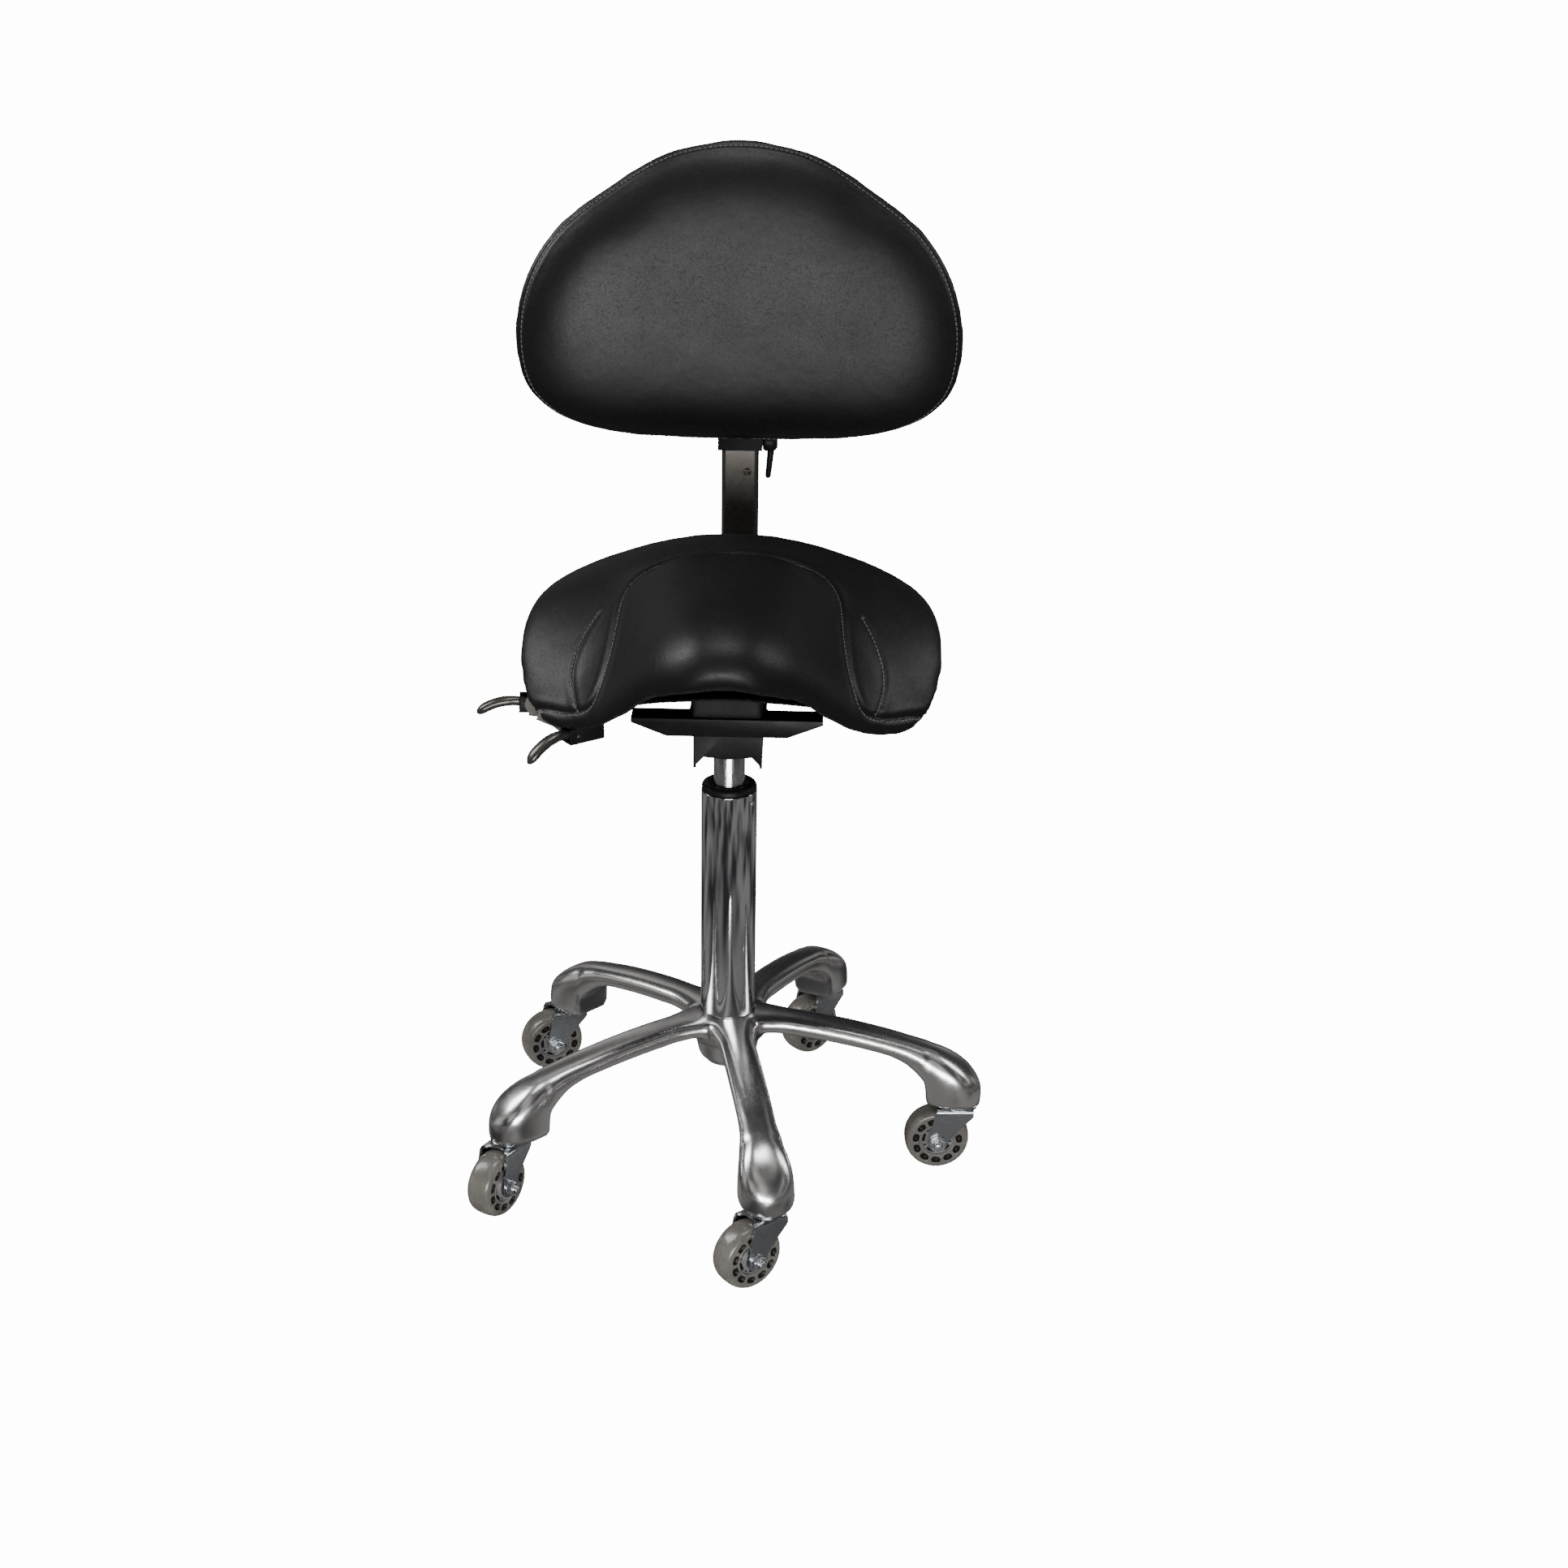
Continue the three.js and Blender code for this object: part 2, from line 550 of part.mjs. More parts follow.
/** Taper socket that the cylinder's cone sits in. */
function columnSocket() {
  const low = CONE_Z + 4;
  const top = CYL_TOP - 1;
  const outer = rod(CYL_R + SOCKET_WALL, low, top);
  const bore = lathe([
    [0, CONE_Z], [CYL_R + CLEAR, CONE_Z], [CYL_R - CYL_TAPER + CLEAR, CYL_TOP], [0, CYL_TOP],
  ]);
  return outer.subtract(bore);
}

/** Small rocker that presses the gas spring's pin. */
function releaseArm() {
  const half = ROCKER_HALF_W;
  const plate = box(-6, 6, -7, ARM_PIN_Y + 5, ARM_PIN_Z - 2, ARM_PIN_Z + 2);
  const barrel = atArmPin(rod(5, -half, half, 16));
  const hole = atArmPin(rod(ARM_PIN_R + CLEAR, -HOUSING_W, HOUSING_W, SMALL_SIDES));
  return union(plate, barrel).subtract(hole);
}

/** Frame under the seat shell: plate, two cross bars, pivot flanges and the backrest sleeve. */
function seatFrame() {
  const out = LUG_IN + SHEET_T;
  const frontY = HOUSING_FRONT - BAR_DEPTH;
  const plate = box(-out, out, frontY, FRAME_REAR, FRAME_Z, FRAME_TOP);
  const flanges = [LUG_IN, -out].map((x) =>
    box(x, x + SHEET_T, HOUSING_FRONT, FRAME_REAR, FRAME_Z - FLANGE_H, FRAME_Z + 1));
  const bar = (half, y0, y1, lipY) => {
    const shelf = box(-half, half, y0, y1, FRAME_Z, FRAME_TOP);
    const low = half * LIP_SHARE;
    const lip = plateXZ([
      [-half, FRAME_TOP], [-half, FRAME_Z - 1], [-low, FRAME_Z - FLANGE_H],
      [low, FRAME_Z - FLANGE_H], [half, FRAME_Z - 1], [half, FRAME_TOP],
    ], lipY, lipY + SHEET_T);
    return union(shelf, lip);
  };
  const rearY = FRAME_REAR - BAR_DEPTH;
  const sleeveOut = box(
    -BAR_W / 2 - CLEAR - SHEET_T, BAR_W / 2 + CLEAR + SHEET_T, FRAME_REAR - 1, FRAME_REAR + BAR_IN_FRAME,
    BAR_LOW_Z - BAR_D / 2 - CLEAR - SHEET_T, FRAME_TOP,
  );
  const sleeveIn = box(
    -BAR_W / 2 - CLEAR, BAR_W / 2 + CLEAR, FRAME_REAR + 2, FRAME_REAR + BAR_IN_FRAME + 1,
    BAR_LOW_Z - BAR_D / 2 - CLEAR, BAR_LOW_Z + BAR_D / 2 + CLEAR,
  );
  const tiltHole = atTiltPin(rod(TILT_PIN_R + CLEAR, -HOUSING_W, HOUSING_W, SMALL_SIDES));
  const window = box(
    -ROCKER_HALF_W - 3, ROCKER_HALF_W + 3, ARM_PIN_Y - 11, ARM_PIN_Y + 11, FRAME_Z - THROUGH, FRAME_TOP + THROUGH,
  );
  return cut(
    union(
      plate, ...flanges, bar(FRONT_BAR_HALF, frontY, HOUSING_FRONT, frontY),
      bar(REAR_BAR_HALF, rearY, FRAME_REAR, FRAME_REAR - SHEET_T), sleeveOut,
    ),
    sleeveIn,
    tiltHole,
    window,
  );
}

function addMechanism() {
  add("tilt_housing", tiltHousing(), "black");
  add("column_socket", columnSocket(), "steel");
  const pinHalf = LUG_IN + SHEET_T + 2;
  add("tilt_pin", atTiltPin(rod(TILT_PIN_R, -pinHalf, pinHalf, SMALL_SIDES)), "steel");
  const armPinHalf = HOUSING_W / 2;
  add("release_arm_pin", atArmPin(rod(ARM_PIN_R, -armPinHalf, armPinHalf, SMALL_SIDES)), "steel");
  add("release_arm", releaseArm(), "steel");
  add("seat_frame", seatFrame(), "black");
}

// ---------------------------------------------------------------- saddle
/** Height of the saddle's widest line under a point of its plan. */
function saddle(x, y) {
  const droop = through(y, DROOP_REAR, DROOP_MID, DROOP_FRONT);
  const spine = through(y, SEAT_REAR_Z, SEAT_MID_Z, SEAT_FRONT_Z);
  return spine - droop * (Math.abs(x) / SEAT_HALF_W) ** DROOP_POWER;
}

/** Padding above the saddle line, with the pommel's ridge at the front. */
function padding(x, y) {
  return PAD_T + POMMEL_H * smooth((55 - y) / 85) * Math.exp(-((x / POMMEL_W) ** 2));
}

/** Plan outline of the seat at an angle from +X. */
function seatOutline(angle) {
  const rear = Math.sin(angle) > 0;
  const n = rear ? 3 : 3.4;
  const s = spow(Math.sin(angle), 2 / n);
  const narrow = rear ? 1 : 1 - SEAT_NARROW * smooth(-s);
  return {
    x: SEAT_HALF_W * spow(Math.cos(angle), 2 / n) * narrow,
    y: SEAT_MID_Y + (rear ? SEAT_REAR_Y - SEAT_MID_Y : SEAT_MID_Y - SEAT_FRONT_Y) * s,
  };
}

/** Closed body over the seat's plan, between two height functions of x, y and fullness. */
function saddleBody(sides, rings, inset, above, below) {
  const geometry = new THREE.SphereGeometry(1, sides, rings);
  const at = geometry.attributes.position;
  for (let i = 0; i < at.count; i += 1) {
    const v = new THREE.Vector3().fromBufferAttribute(at, i);
    const flat = Math.min(Math.hypot(v.x, v.z), 1);
    const power = v.y >= 0 ? 2 / 2.5 : 2 / 3.2;
    const rho = (flat < 1e-6 ? 0 : flat ** power) * inset;
    const o = seatOutline(Math.atan2(-v.z, v.x));
    const x = rho * o.x;
    const y = SEAT_MID_Y + rho * (o.y - SEAT_MID_Y);
    const h = Math.abs(v.y) ** power;
    at.setXYZ(i, x, y, v.y >= 0 ? above(x, y, h) : below(x, y, h));
  }
  return solid(geometry);
}

function addSeat() {
  const cushion = saddleBody(
    SEAT_SIDES, SEAT_RINGS, 1,
    (x, y, h) => saddle(x, y) + padding(x, y) * h,
    (x, y, h) => saddle(x, y) - PAD_BELOW * h,
  );
  const shellTop = PAD_BELOW + CLEAR;
  const shell = saddleBody(
    SEAT_SIDES, SEAT_RINGS - 6, SHELL_INSET,
    (x, y, h) => saddle(x, y) - shellTop - SHELL_T / 2 + (SHELL_T / 2) * h,
    (x, y, h) => saddle(x, y) - shellTop - SHELL_T / 2 - (SHELL_T / 2) * h,
  );
  const above = saddleBody(
    SEAT_SIDES, SEAT_RINGS, 1,
    (x, y, h) => saddle(x, y) + 2 * (PAD_T + POMMEL_H) * h,
    (x, y, h) => saddle(x, y) - (PAD_BELOW + CLEAR) * h,
  );
  const boss = box(
    -HOUSING_W / 2, HOUSING_W / 2, HOUSING_FRONT - BAR_DEPTH, FRAME_REAR, FRAME_TOP + CLEAR, SEAT_REAR_Z,
  );
  add("seat_cushion", cushion, "leather");
  add("seat_shell", shell.add(boss).subtract(above), "black");
}

// ---------------------------------------------------------------- levers
/** Curved paddle along +X from its pivot, with a flattened section and a round tip. */
function paddle() {
  const tipFrom = 0.82;
  return ringBody(7, 8, (t, angle, rim) => {
    const past = Math.max(t - tipFrom, 0) / (1 - tipFrom);
    const tip = Math.sqrt(1 - 0.9 * past ** 2);
    const a = LEVER_HALF_W * 0.95 * tip;
    const b = LEVER_HALF_T * tip;
    const x = 1 + t * (LEVER_L - 1);
    const z = 4 * Math.sin(t * 2.2) - LEVER_DROOP * t ** 2.2;
    const rise = rim * b * Math.sin(angle);
    return { x: x + rise * 0.45 * t, y: rim * a * Math.cos(angle), z: z + rise };
  });
}

/** Lever with its block and pin; the block's rear end rises to the underside of the shell. */
function addLever(name, place) {
  const m = LEVER_MOUNT;
  const turn = rad(place.turn);
  const [c, s] = [Math.cos(turn), Math.sin(turn)];
  const corners = [-m.rear, -m.rear / 2].flatMap((x) => [-m.w / 2, m.w / 2].map((y) => [x, y]));
  const heights = corners.map(([x, y]) => saddle(place.x + x * c - y * s, place.y + x * s + y * c));
  const under = Math.min(...heights) - PAD_BELOW - SHELL_T - 3 * CLEAR;
  const side = new THREE.Group();
  side.position.set(place.x, place.y, under - place.drop - m.above);
  side.rotation.z = turn;
  group.add(side);
  const slotHalf = LEVER_HALF_W + 0.6;
  const slot = box(-5, m.front + THROUGH, -slotHalf, slotHalf, -m.below + 1.4, m.above + THROUGH);
  const pinHole = alongY(rod(LEVER_PIN_R + CLEAR, -m.w, m.w, SMALL_SIDES));
  const block = union(
    box(-m.rear, m.front, -m.w / 2, m.w / 2, -m.below, m.above),
    box(-m.rear, -m.rear / 2, -m.w / 2, m.w / 2, -m.below, m.above + place.drop),
  );
  add(`${name}_mount`, cut(block, slot, pinHole), "plastic", side);
  add(`${name}_pin`, alongY(rod(LEVER_PIN_R, -m.w / 2, m.w / 2, SMALL_SIDES)), "steel", side);
  const eye = alongY(rod(LEVER_HALF_T, -LEVER_HALF_W + 0.5, LEVER_HALF_W - 0.5, SMALL_SIDES));
  add(name, union(paddle(), eye).subtract(pinHole), "gunmetal", side);
}

// ---------------------------------------------------------------- backrest
/** Rounded rectangle as a list of points, for the bar's section. */
function roundedSection(w, d, r) {
  const shape = new THREE.Shape();
  shape.moveTo(-w / 2 + r, -d / 2);
  shape.lineTo(w / 2 - r, -d / 2);
  shape.absarc(w / 2 - r, -d / 2 + r, r, -Math.PI / 2, 0);
  shape.lineTo(w / 2, d / 2 - r);
  shape.absarc(w / 2 - r, d / 2 - r, r, 0, Math.PI / 2);
  shape.lineTo(-w / 2 + r, d / 2);
  shape.absarc(-w / 2 + r, d / 2 - r, r, Math.PI / 2, Math.PI);
  shape.lineTo(-w / 2, -d / 2 + r);
  shape.absarc(-w / 2 + r, -d / 2 + r, r, Math.PI, Math.PI * 1.5);
  return shape;
}

/** Bent rectangular tube that runs back from the frame and then up. */
function backBar() {
  const yIn = FRAME_REAR + 2 + CLEAR;
  const run = (w, d, r, extra) => {
    const section = roundedSection(w, d, r).getPoints(2);
    section.pop();
    const stations = [[yIn - extra, BAR_LOW_Z, 0]];
    const turns = 5;
    for (let i = 0; i <= turns; i += 1) {
      const a = (i / turns) * (Math.PI / 2);
      stations.push([
        BAR_Y - BAR_BEND_R + BAR_BEND_R * Math.sin(a), BAR_LOW_Z + BAR_BEND_R - BAR_BEND_R * Math.cos(a), a,
      ]);
    }
    stations.push([BAR_Y, BAR_TOP_Z + extra, Math.PI / 2]);
    return sweepYZ(section, stations);
  };
  const outer = run(BAR_W, BAR_D, BAR_CORNER, 0);
  const inner = run(BAR_W - 2 * BAR_WALL, BAR_D - 2 * BAR_WALL, BAR_CORNER - BAR_WALL, 1);
  return outer.subtract(inner);
}

/** Body swept in the YZ plane: stations are [y, z, pitch], the section is in X and depth. */
function sweepYZ(section, stations) {
  const n = section.length;
  const place = (k, i, rim) => {
    const [y, z, a] = stations[k];
    const p = section[i % n];
    return { x: rim * p.x, y: y - rim * p.y * Math.sin(a), z: z + rim * p.y * Math.cos(a) };
  };
  const geometry = new THREE.CylinderGeometry(1, 1, 1, n, stations.length - 1);
  const at = geometry.attributes.position;
  for (let v = 0; v < at.count; v += 1) {
    const rim = Math.hypot(at.getX(v), at.getZ(v)) > 0.5 ? 1 : 0;
    const turn = Math.atan2(at.getX(v), at.getZ(v)) / (2 * Math.PI);
    const i = ((Math.round(turn * n) % n) + n) % n;
    const p = place(Math.round((0.5 - at.getY(v)) * (stations.length - 1)), i, rim);
    at.setXYZ(v, p.x, p.y, p.z);
  }
  return solid(geometry);
}

/** Sleeve on the bar with the bracket plate that carries the backrest. */
function backCarriage() {
  const x = BAR_W / 2 + CLEAR;
  const y = BAR_D / 2 + CLEAR;
  const w = CARRIAGE_WALL;
  const z1 = CARRIAGE_Z + CARRIAGE_H;
  const sleeve = box(-x - w, x + w, BAR_Y - y - w, BAR_Y + y + w, CARRIAGE_Z, z1);
  const face = BAR_Y - y - w;
  const plate = box(
    -BRACKET.w / 2, BRACKET.w / 2, face - BRACKET.t, face + 0.5, z1 - BRACKET.h, z1,
  );
  const bore = box(-x, x, BAR_Y - y, BAR_Y + y, CARRIAGE_Z - 1, z1 + 1);
  const studHole = alongX(rod(CLAMP_STUD_R + CLEAR, 1, BAR_W, SMALL_SIDES)).translate([0, BAR_Y, CLAMP_Z]);
  return cut(union(sleeve, plate), bore, studHole);
}

/** Outline of the backrest at an angle from +X, as x and height above the widest line. */
function backOutline(angle) {
  const up = Math.sin(angle) > 0;
  const n = up ? 1.85 : 3.3;
  return {
    x: BACK_HALF_W * spow(Math.cos(angle), 2 / n),
    z: (up ? BACK_UP : BACK_DOWN) * spow(Math.sin(angle), 2 / n),
  };
}

/** Closed body on the backrest's outline: front and rear faces at distances from the curved mid surface. */
function backBody(sides, rings, inset, front, rear, rimY) {
  const geometry = new THREE.SphereGeometry(1, sides, rings);
  const at = geometry.attributes.position;
  for (let i = 0; i < at.count; i += 1) {
    const v = new THREE.Vector3().fromBufferAttribute(at, i);
    const flat = Math.min(Math.hypot(v.x, v.z), 1);
    const power = 2 / 2.8;
    const rho = (flat < 1e-6 ? 0 : flat ** power) * inset;
    const o = backOutline(Math.atan2(-v.z, v.x));
    const x = rho * o.x;
    const h = Math.abs(v.y) ** power;
    const y = rimY - BACK_WRAP * (x / BACK_HALF_W) ** 2 + (v.y >= 0 ? -front * h : rear * h);
    at.setXYZ(i, x, y, BACK_Z + rho * o.z);
  }
  return solid(geometry);
}

function addBackrest() {
  add("back_bar", backBar(), "gunmetal");
  const head = lathe([[0, 0], [3.6, 0], [3.6, 1], [2, 2.4], [0, 2.8]], 16).rotate([90, 0, 0]);
  add("bar_stop_screw", head.translate([7, BAR_Y - BAR_D / 2 - CLEAR, STOP_Z]), "gunmetal");
  add("back_carriage", backCarriage(), "black");
  const plateFace = BAR_Y - BAR_D / 2 - CLEAR - CARRIAGE_WALL - BRACKET.t;
  const shellRim = plateFace - CLEAR - BACK_SHELL_T / 2;
  const padRim = shellRim - BACK_SHELL_T / 2 - BACK_SHELL_GAP - BACK_PAD_REAR;
  const half = BACK_SHELL_T / 2;
  add("back_shell", backBody(BACK_SIDES, BACK_RINGS - 4, BACK_SHELL_INSET, half, half, shellRim), "black");
  add("back_cushion", backBody(BACK_SIDES, BACK_RINGS, 1, BACK_PAD_T, BACK_PAD_REAR, padRim), "leather");
  const hubIn = BAR_W / 2 + CLEAR + CARRIAGE_WALL + CLEAR;
  const stud = alongX(rod(CLAMP_STUD_R, BAR_W / 2 + 0.6, hubIn + 8, SMALL_SIDES));
  add("clamp_stud", stud.translate([0, BAR_Y, CLAMP_Z]), "steel");
  const hub = alongX(
    lathe([
      [0, hubIn], [CLAMP_HUB_R - 2, hubIn], [CLAMP_HUB_R, hubIn + 3],
      [CLAMP_HUB_R, hubIn + CLAMP_HUB_L - 4], [CLAMP_HUB_R - 4, hubIn + CLAMP_HUB_L],
      [0, hubIn + CLAMP_HUB_L],
    ], WHEEL_SIDES),
  );
  const armX = hubIn + CLAMP_HUB_L / 2 + 1;
  const stick = ringBody(5, 8, (t, angle, rim) => {
    const r = (3.4 - 0.6 * t) * (t > 0.9 ? 0.75 : 1);
    const x = armX - 3 * t + rim * r * Math.cos(angle);
    return { x, y: rim * r * Math.sin(angle), z: -4 - t * (CLAMP_ARM_L - 4) };
  });
  const bore = alongX(rod(CLAMP_STUD_R + CLEAR, hubIn - 1, hubIn + 8 + CLEAR, 12));
  add("clamp_lever", union(hub, stick).subtract(bore).translate([0, BAR_Y, CLAMP_Z]), "plastic");
}

// ---------------------------------------------------------------- assembly
add("star_base", starBase(), "polished");
addCasters();
addColumn();
addMechanism();
addSeat();
addLever("height_lever", HEIGHT_LEVER);
addLever("tilt_lever", TILT_LEVER);
addBackrest();

export default group;
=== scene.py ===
import json
import math

import bmesh
import bpy
import numpy as np
from bpy.props import FloatProperty, FloatVectorProperty, IntProperty, PointerProperty
from mathutils import Matrix, Vector
from mathutils.bvhtree import BVHTree
from mathutils.kdtree import KDTree


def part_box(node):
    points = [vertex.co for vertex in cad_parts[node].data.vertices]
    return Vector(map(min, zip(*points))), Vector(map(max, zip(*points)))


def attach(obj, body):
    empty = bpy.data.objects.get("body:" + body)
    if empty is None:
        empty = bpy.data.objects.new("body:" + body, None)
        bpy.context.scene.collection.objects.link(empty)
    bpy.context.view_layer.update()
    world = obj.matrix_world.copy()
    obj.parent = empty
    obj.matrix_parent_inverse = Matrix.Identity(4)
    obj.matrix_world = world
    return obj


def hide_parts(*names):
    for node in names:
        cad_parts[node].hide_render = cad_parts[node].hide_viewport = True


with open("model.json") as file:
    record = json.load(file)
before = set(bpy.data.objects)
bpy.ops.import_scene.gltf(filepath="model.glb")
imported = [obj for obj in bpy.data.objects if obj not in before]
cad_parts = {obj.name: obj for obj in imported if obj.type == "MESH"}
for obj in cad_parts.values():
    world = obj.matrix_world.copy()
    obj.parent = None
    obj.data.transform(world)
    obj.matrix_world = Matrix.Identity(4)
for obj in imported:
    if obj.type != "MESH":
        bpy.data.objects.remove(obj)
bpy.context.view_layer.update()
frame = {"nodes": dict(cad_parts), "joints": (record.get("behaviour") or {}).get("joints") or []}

bl_info = {
    "name": "Dentist stool",
    "version": (1, 0, 0),
    "blender": (4, 5, 0),
    "location": "3D View > Sidebar > Stool",
    "description": "Upholstery, castings and finishes of a saddle stool, built on its frame",
    "category": "Object",
}

MM = 0.001
JOINTS = {joint["name"]: joint for joint in frame["joints"]}
CASTERS = range(1, 6)

# Saddle: stations along Y (rear, middle, front) with the widest line's height on the centre plane
# and how far it has fallen at the full half width.
STATIONS = (165 * MM, 0.0, -170 * MM)
SPINE = (551 * MM, 497 * MM, 517 * MM)
DROOP = (54 * MM, 44 * MM, 300 * MM)
DROOP_POWER = 1.8
DROOP_POWER_FRONT = 2.4
SEAT_HALF_W = 190 * MM
SEAT_MID_Y = 22 * MM
SEAT_REAR_Y = 158 * MM
SEAT_FRONT_Y = -176 * MM
SEAT_NARROW = 0.66
PAD_T = 32 * MM
SWELL_ROOM = 2.5 * MM  # left for the cloth to swell into
POMMEL_H = 57 * MM
POMMEL_W = 92 * MM
PAD_BELOW = 5 * MM
SHELL_T = 8 * MM
SHELL_INSET = 0.9
SWELL_FRAMES = 20  # length of each cloth run

# Seams of the saddle, the half on the -X side: x, y, z in millimetres.
POMMEL_SEAM = (
    (0, 101, 549), (-37, 95, 546), (-65, 80, 539), (-80, 50, 530), (-89, -5, 518), (-96, -46, 500),
    (-104, -68, 483), (-116, -74, 470), (-131, -62, 460), (-147, -43, 453), (-166, -23, 450),
    (-183, -3, 456),
)
THIGH_SEAM = ((-112, 24, 514), (-126, 0, 500), (-134, -24, 486), (-134, -44, 474), (-127, -64, 463))
LABEL_EDGE = ((-178, -8, 452), (-146, -46, 446))

# Camera: its place, then degrees toward +X, downwards and anticlockwise.
CAMERA = Vector((69.1, -1979.9, 1214.4)) * MM
HEADING, PITCH, ROLL = -0.59, 23.07, 0.94
BACKDROP = 14.0  # brightness of the floor and sky to the camera

AXLE = Vector((21.5, 0, 30)) * MM  # from a caster's stem, on the floor, to its axle


# ---------------------------------------------------------------- what a user may change
class BaseSettings(bpy.types.PropertyGroup):
    """Star base, casters and column."""

    casting_detail: FloatProperty(
        name="Casting detail", description="Voxel size of the star base", default=0.0015, unit="LENGTH")
    fillet_passes: IntProperty(
        name="Fillet passes", description="Smoothing where the arms meet the hub", default=26, min=0)
    # Each window's inside is painted near-black: painted shade.
    tyre_windows: IntProperty(
        name="Tyre windows", description="Dark windows round each side of a tyre", default=11, min=3)
    edge_radius: FloatProperty(
        name="Edge radius", description="Rounding of turned edges", default=0.0004, unit="LENGTH")


class SeatSettings(bpy.types.PropertyGroup):
    """Saddle and backrest cushions."""

    cloth_detail: FloatProperty(
        name="Cloth detail", description="Voxel size of the covers", default=0.0038, unit="LENGTH")
    pressure: FloatProperty(
        name="Foam pressure", description="Pressure that swells the cover", default=4.0)
    swell: FloatProperty(
        name="Swell", description="Farthest that the cover may swell", default=0.0035, unit="LENGTH")
    seam_depth: FloatProperty(
        name="Seam depth", description="How deep a seam draws the cover in", default=0.0018, unit="LENGTH")
    seam_width: FloatProperty(
        name="Seam width", description="Half width of a seam's valley", default=0.0021, unit="LENGTH")
    stitch_pitch: FloatProperty(
        name="Stitch pitch", description="Distance from stitch to stitch", default=0.0045, unit="LENGTH")
    stitch_length: FloatProperty(
        name="Stitch length", description="Visible length of one stitch", default=0.0031, unit="LENGTH")
    thread_radius: FloatProperty(
        name="Thread radius", description="Radius of the sewing thread", default=0.0005, unit="LENGTH")


def colour(name, description, default):
    """Colour property with a swatch."""
    return FloatVectorProperty(
        name=name, description=description, default=default, subtype="COLOR", size=3, min=0, max=1)


class FinishSettings(bpy.types.PropertyGroup):
    """Colours of the finishes."""

    leather: colour("Leather", "Upholstery", (0.0028, 0.0027, 0.0028))
    thread: colour("Thread", "Sewing thread", (0.10, 0.097, 0.093))
    casting: colour("Casting", "Polished aluminium", (0.80, 0.79, 0.78))
    chrome: colour("Chrome", "Column tube and cylinder", (0.74, 0.75, 0.77))
    zinc: colour("Zinc", "Plating of the casters", (0.58, 0.61, 0.65))
    bronze: colour("Bronze", "Backrest bar and levers", (0.10, 0.092, 0.084))
    coat: colour("Powder coat", "Mechanism", (0.0035, 0.0035, 0.0035))
    moulding: colour("Moulding", "Black plastics", (0.005, 0.005, 0.005))
    tyre: colour("Tyre", "Soft tyre", (0.122, 0.113, 0.099))
    centre: colour("Wheel centre", "Hard wheel centre", (0.13, 0.126, 0.12))


class StageSettings(bpy.types.PropertyGroup):
    """Camera, lights and floor."""

    lens: FloatProperty(name="Lens", description="Focal length in millimetres", default=55.5)
    key_power: FloatProperty(name="Front light", description="Power in watts", default=60)
    top_power: FloatProperty(name="Overhead light", description="Power in watts", default=18)
    side_power: FloatProperty(name="Side lights", description="Power of each in watts", default=16)


def settings(kind):
    """Settings of one kind from the scene."""
    return getattr(bpy.context.scene, "stool_" + kind)


# ---------------------------------------------------------------- mesh helpers
def linked(name, data):
    """Object of some data, linked to the scene."""
    obj = bpy.data.objects.new(name, data)
    bpy.context.scene.collection.objects.link(obj)
    return obj


def mesh_object(name, points, faces):
    """Smooth-shaded object from points and faces, its normals pointing out."""
    mesh = bpy.data.meshes.new(name)
    mesh.from_pydata([tuple(p) for p in points], [], faces)
    work = bmesh.new()
    work.from_mesh(mesh)
    bmesh.ops.remove_doubles(work, verts=work.verts, dist=1e-7)
    bmesh.ops.recalc_face_normals(work, faces=work.faces)
    work.to_mesh(mesh)
    work.free()
    mesh.shade_smooth()
    return linked(name, mesh)


def sheet_faces(rows, cols):
    """Faces of an open sheet of points, row by row."""
    return [(k * cols + i, k * cols + i + 1, (k + 1) * cols + i + 1, (k + 1) * cols + i)
            for k in range(rows - 1) for i in range(cols - 1)]


def skin(name, rings, loop=False):
    """Body over a row of rings; its ends are closed unless the last ring joins the first."""
    n = len(rings[0])
    spans = len(rings) if loop else len(rings) - 1
    faces = []
    for k in range(spans):
        a, b = k * n, ((k + 1) % len(rings)) * n
        faces += [(a + i, a + (i + 1) % n, b + (i + 1) % n, b + i) for i in range(n)]
    if not loop:
        last = (len(rings) - 1) * n
        faces += [tuple(range(n)), tuple(range(last, last + n))]
    return mesh_object(name, [p for ring in rings for p in ring], faces)


def turned(name, profile, sides=96, loop=False, along="Z"):
    """Body of revolution from (radius, height) pairs in metres; a looped profile leaves a bore."""
    def point(r, h, i):
        a = 2 * math.pi * i / sides
        x, y = r * math.cos(a), r * math.sin(a)
        return {"Z": (x, y, h), "Y": (y, h, x), "X": (h, x, y)}[along]
    return skin(name, [[point(r, h, i) for i in range(sides)] for r, h in profile], loop)


def block(name, low, high):
    """Plain block between two corners."""
    (x0, y0, z0), (x1, y1, z1) = low, high
    return skin(name, [[(x0, y0, z), (x1, y0, z), (x1, y1, z), (x0, y1, z)] for z in (z0, z1)])


def baked(obj):
    """Replaces the object's mesh by what its modifiers make of it."""
    mesh = bpy.data.meshes.new_from_object(obj.evaluated_get(bpy.context.evaluated_depsgraph_get()))
    obj.modifiers.clear()
    obj.data = mesh
    return obj


def rounded(obj, width, segments=2, angle=32):
    """Rounds the sharp edges and keeps the flats flat."""
    bevel = obj.modifiers.new("Edges", "BEVEL")
    bevel.width = width
    bevel.segments = segments
    bevel.limit_method = "ANGLE"
    bevel.angle_limit = math.radians(angle)
    bevel.harden_normals = True
    obj.data.shade_smooth()
    return obj


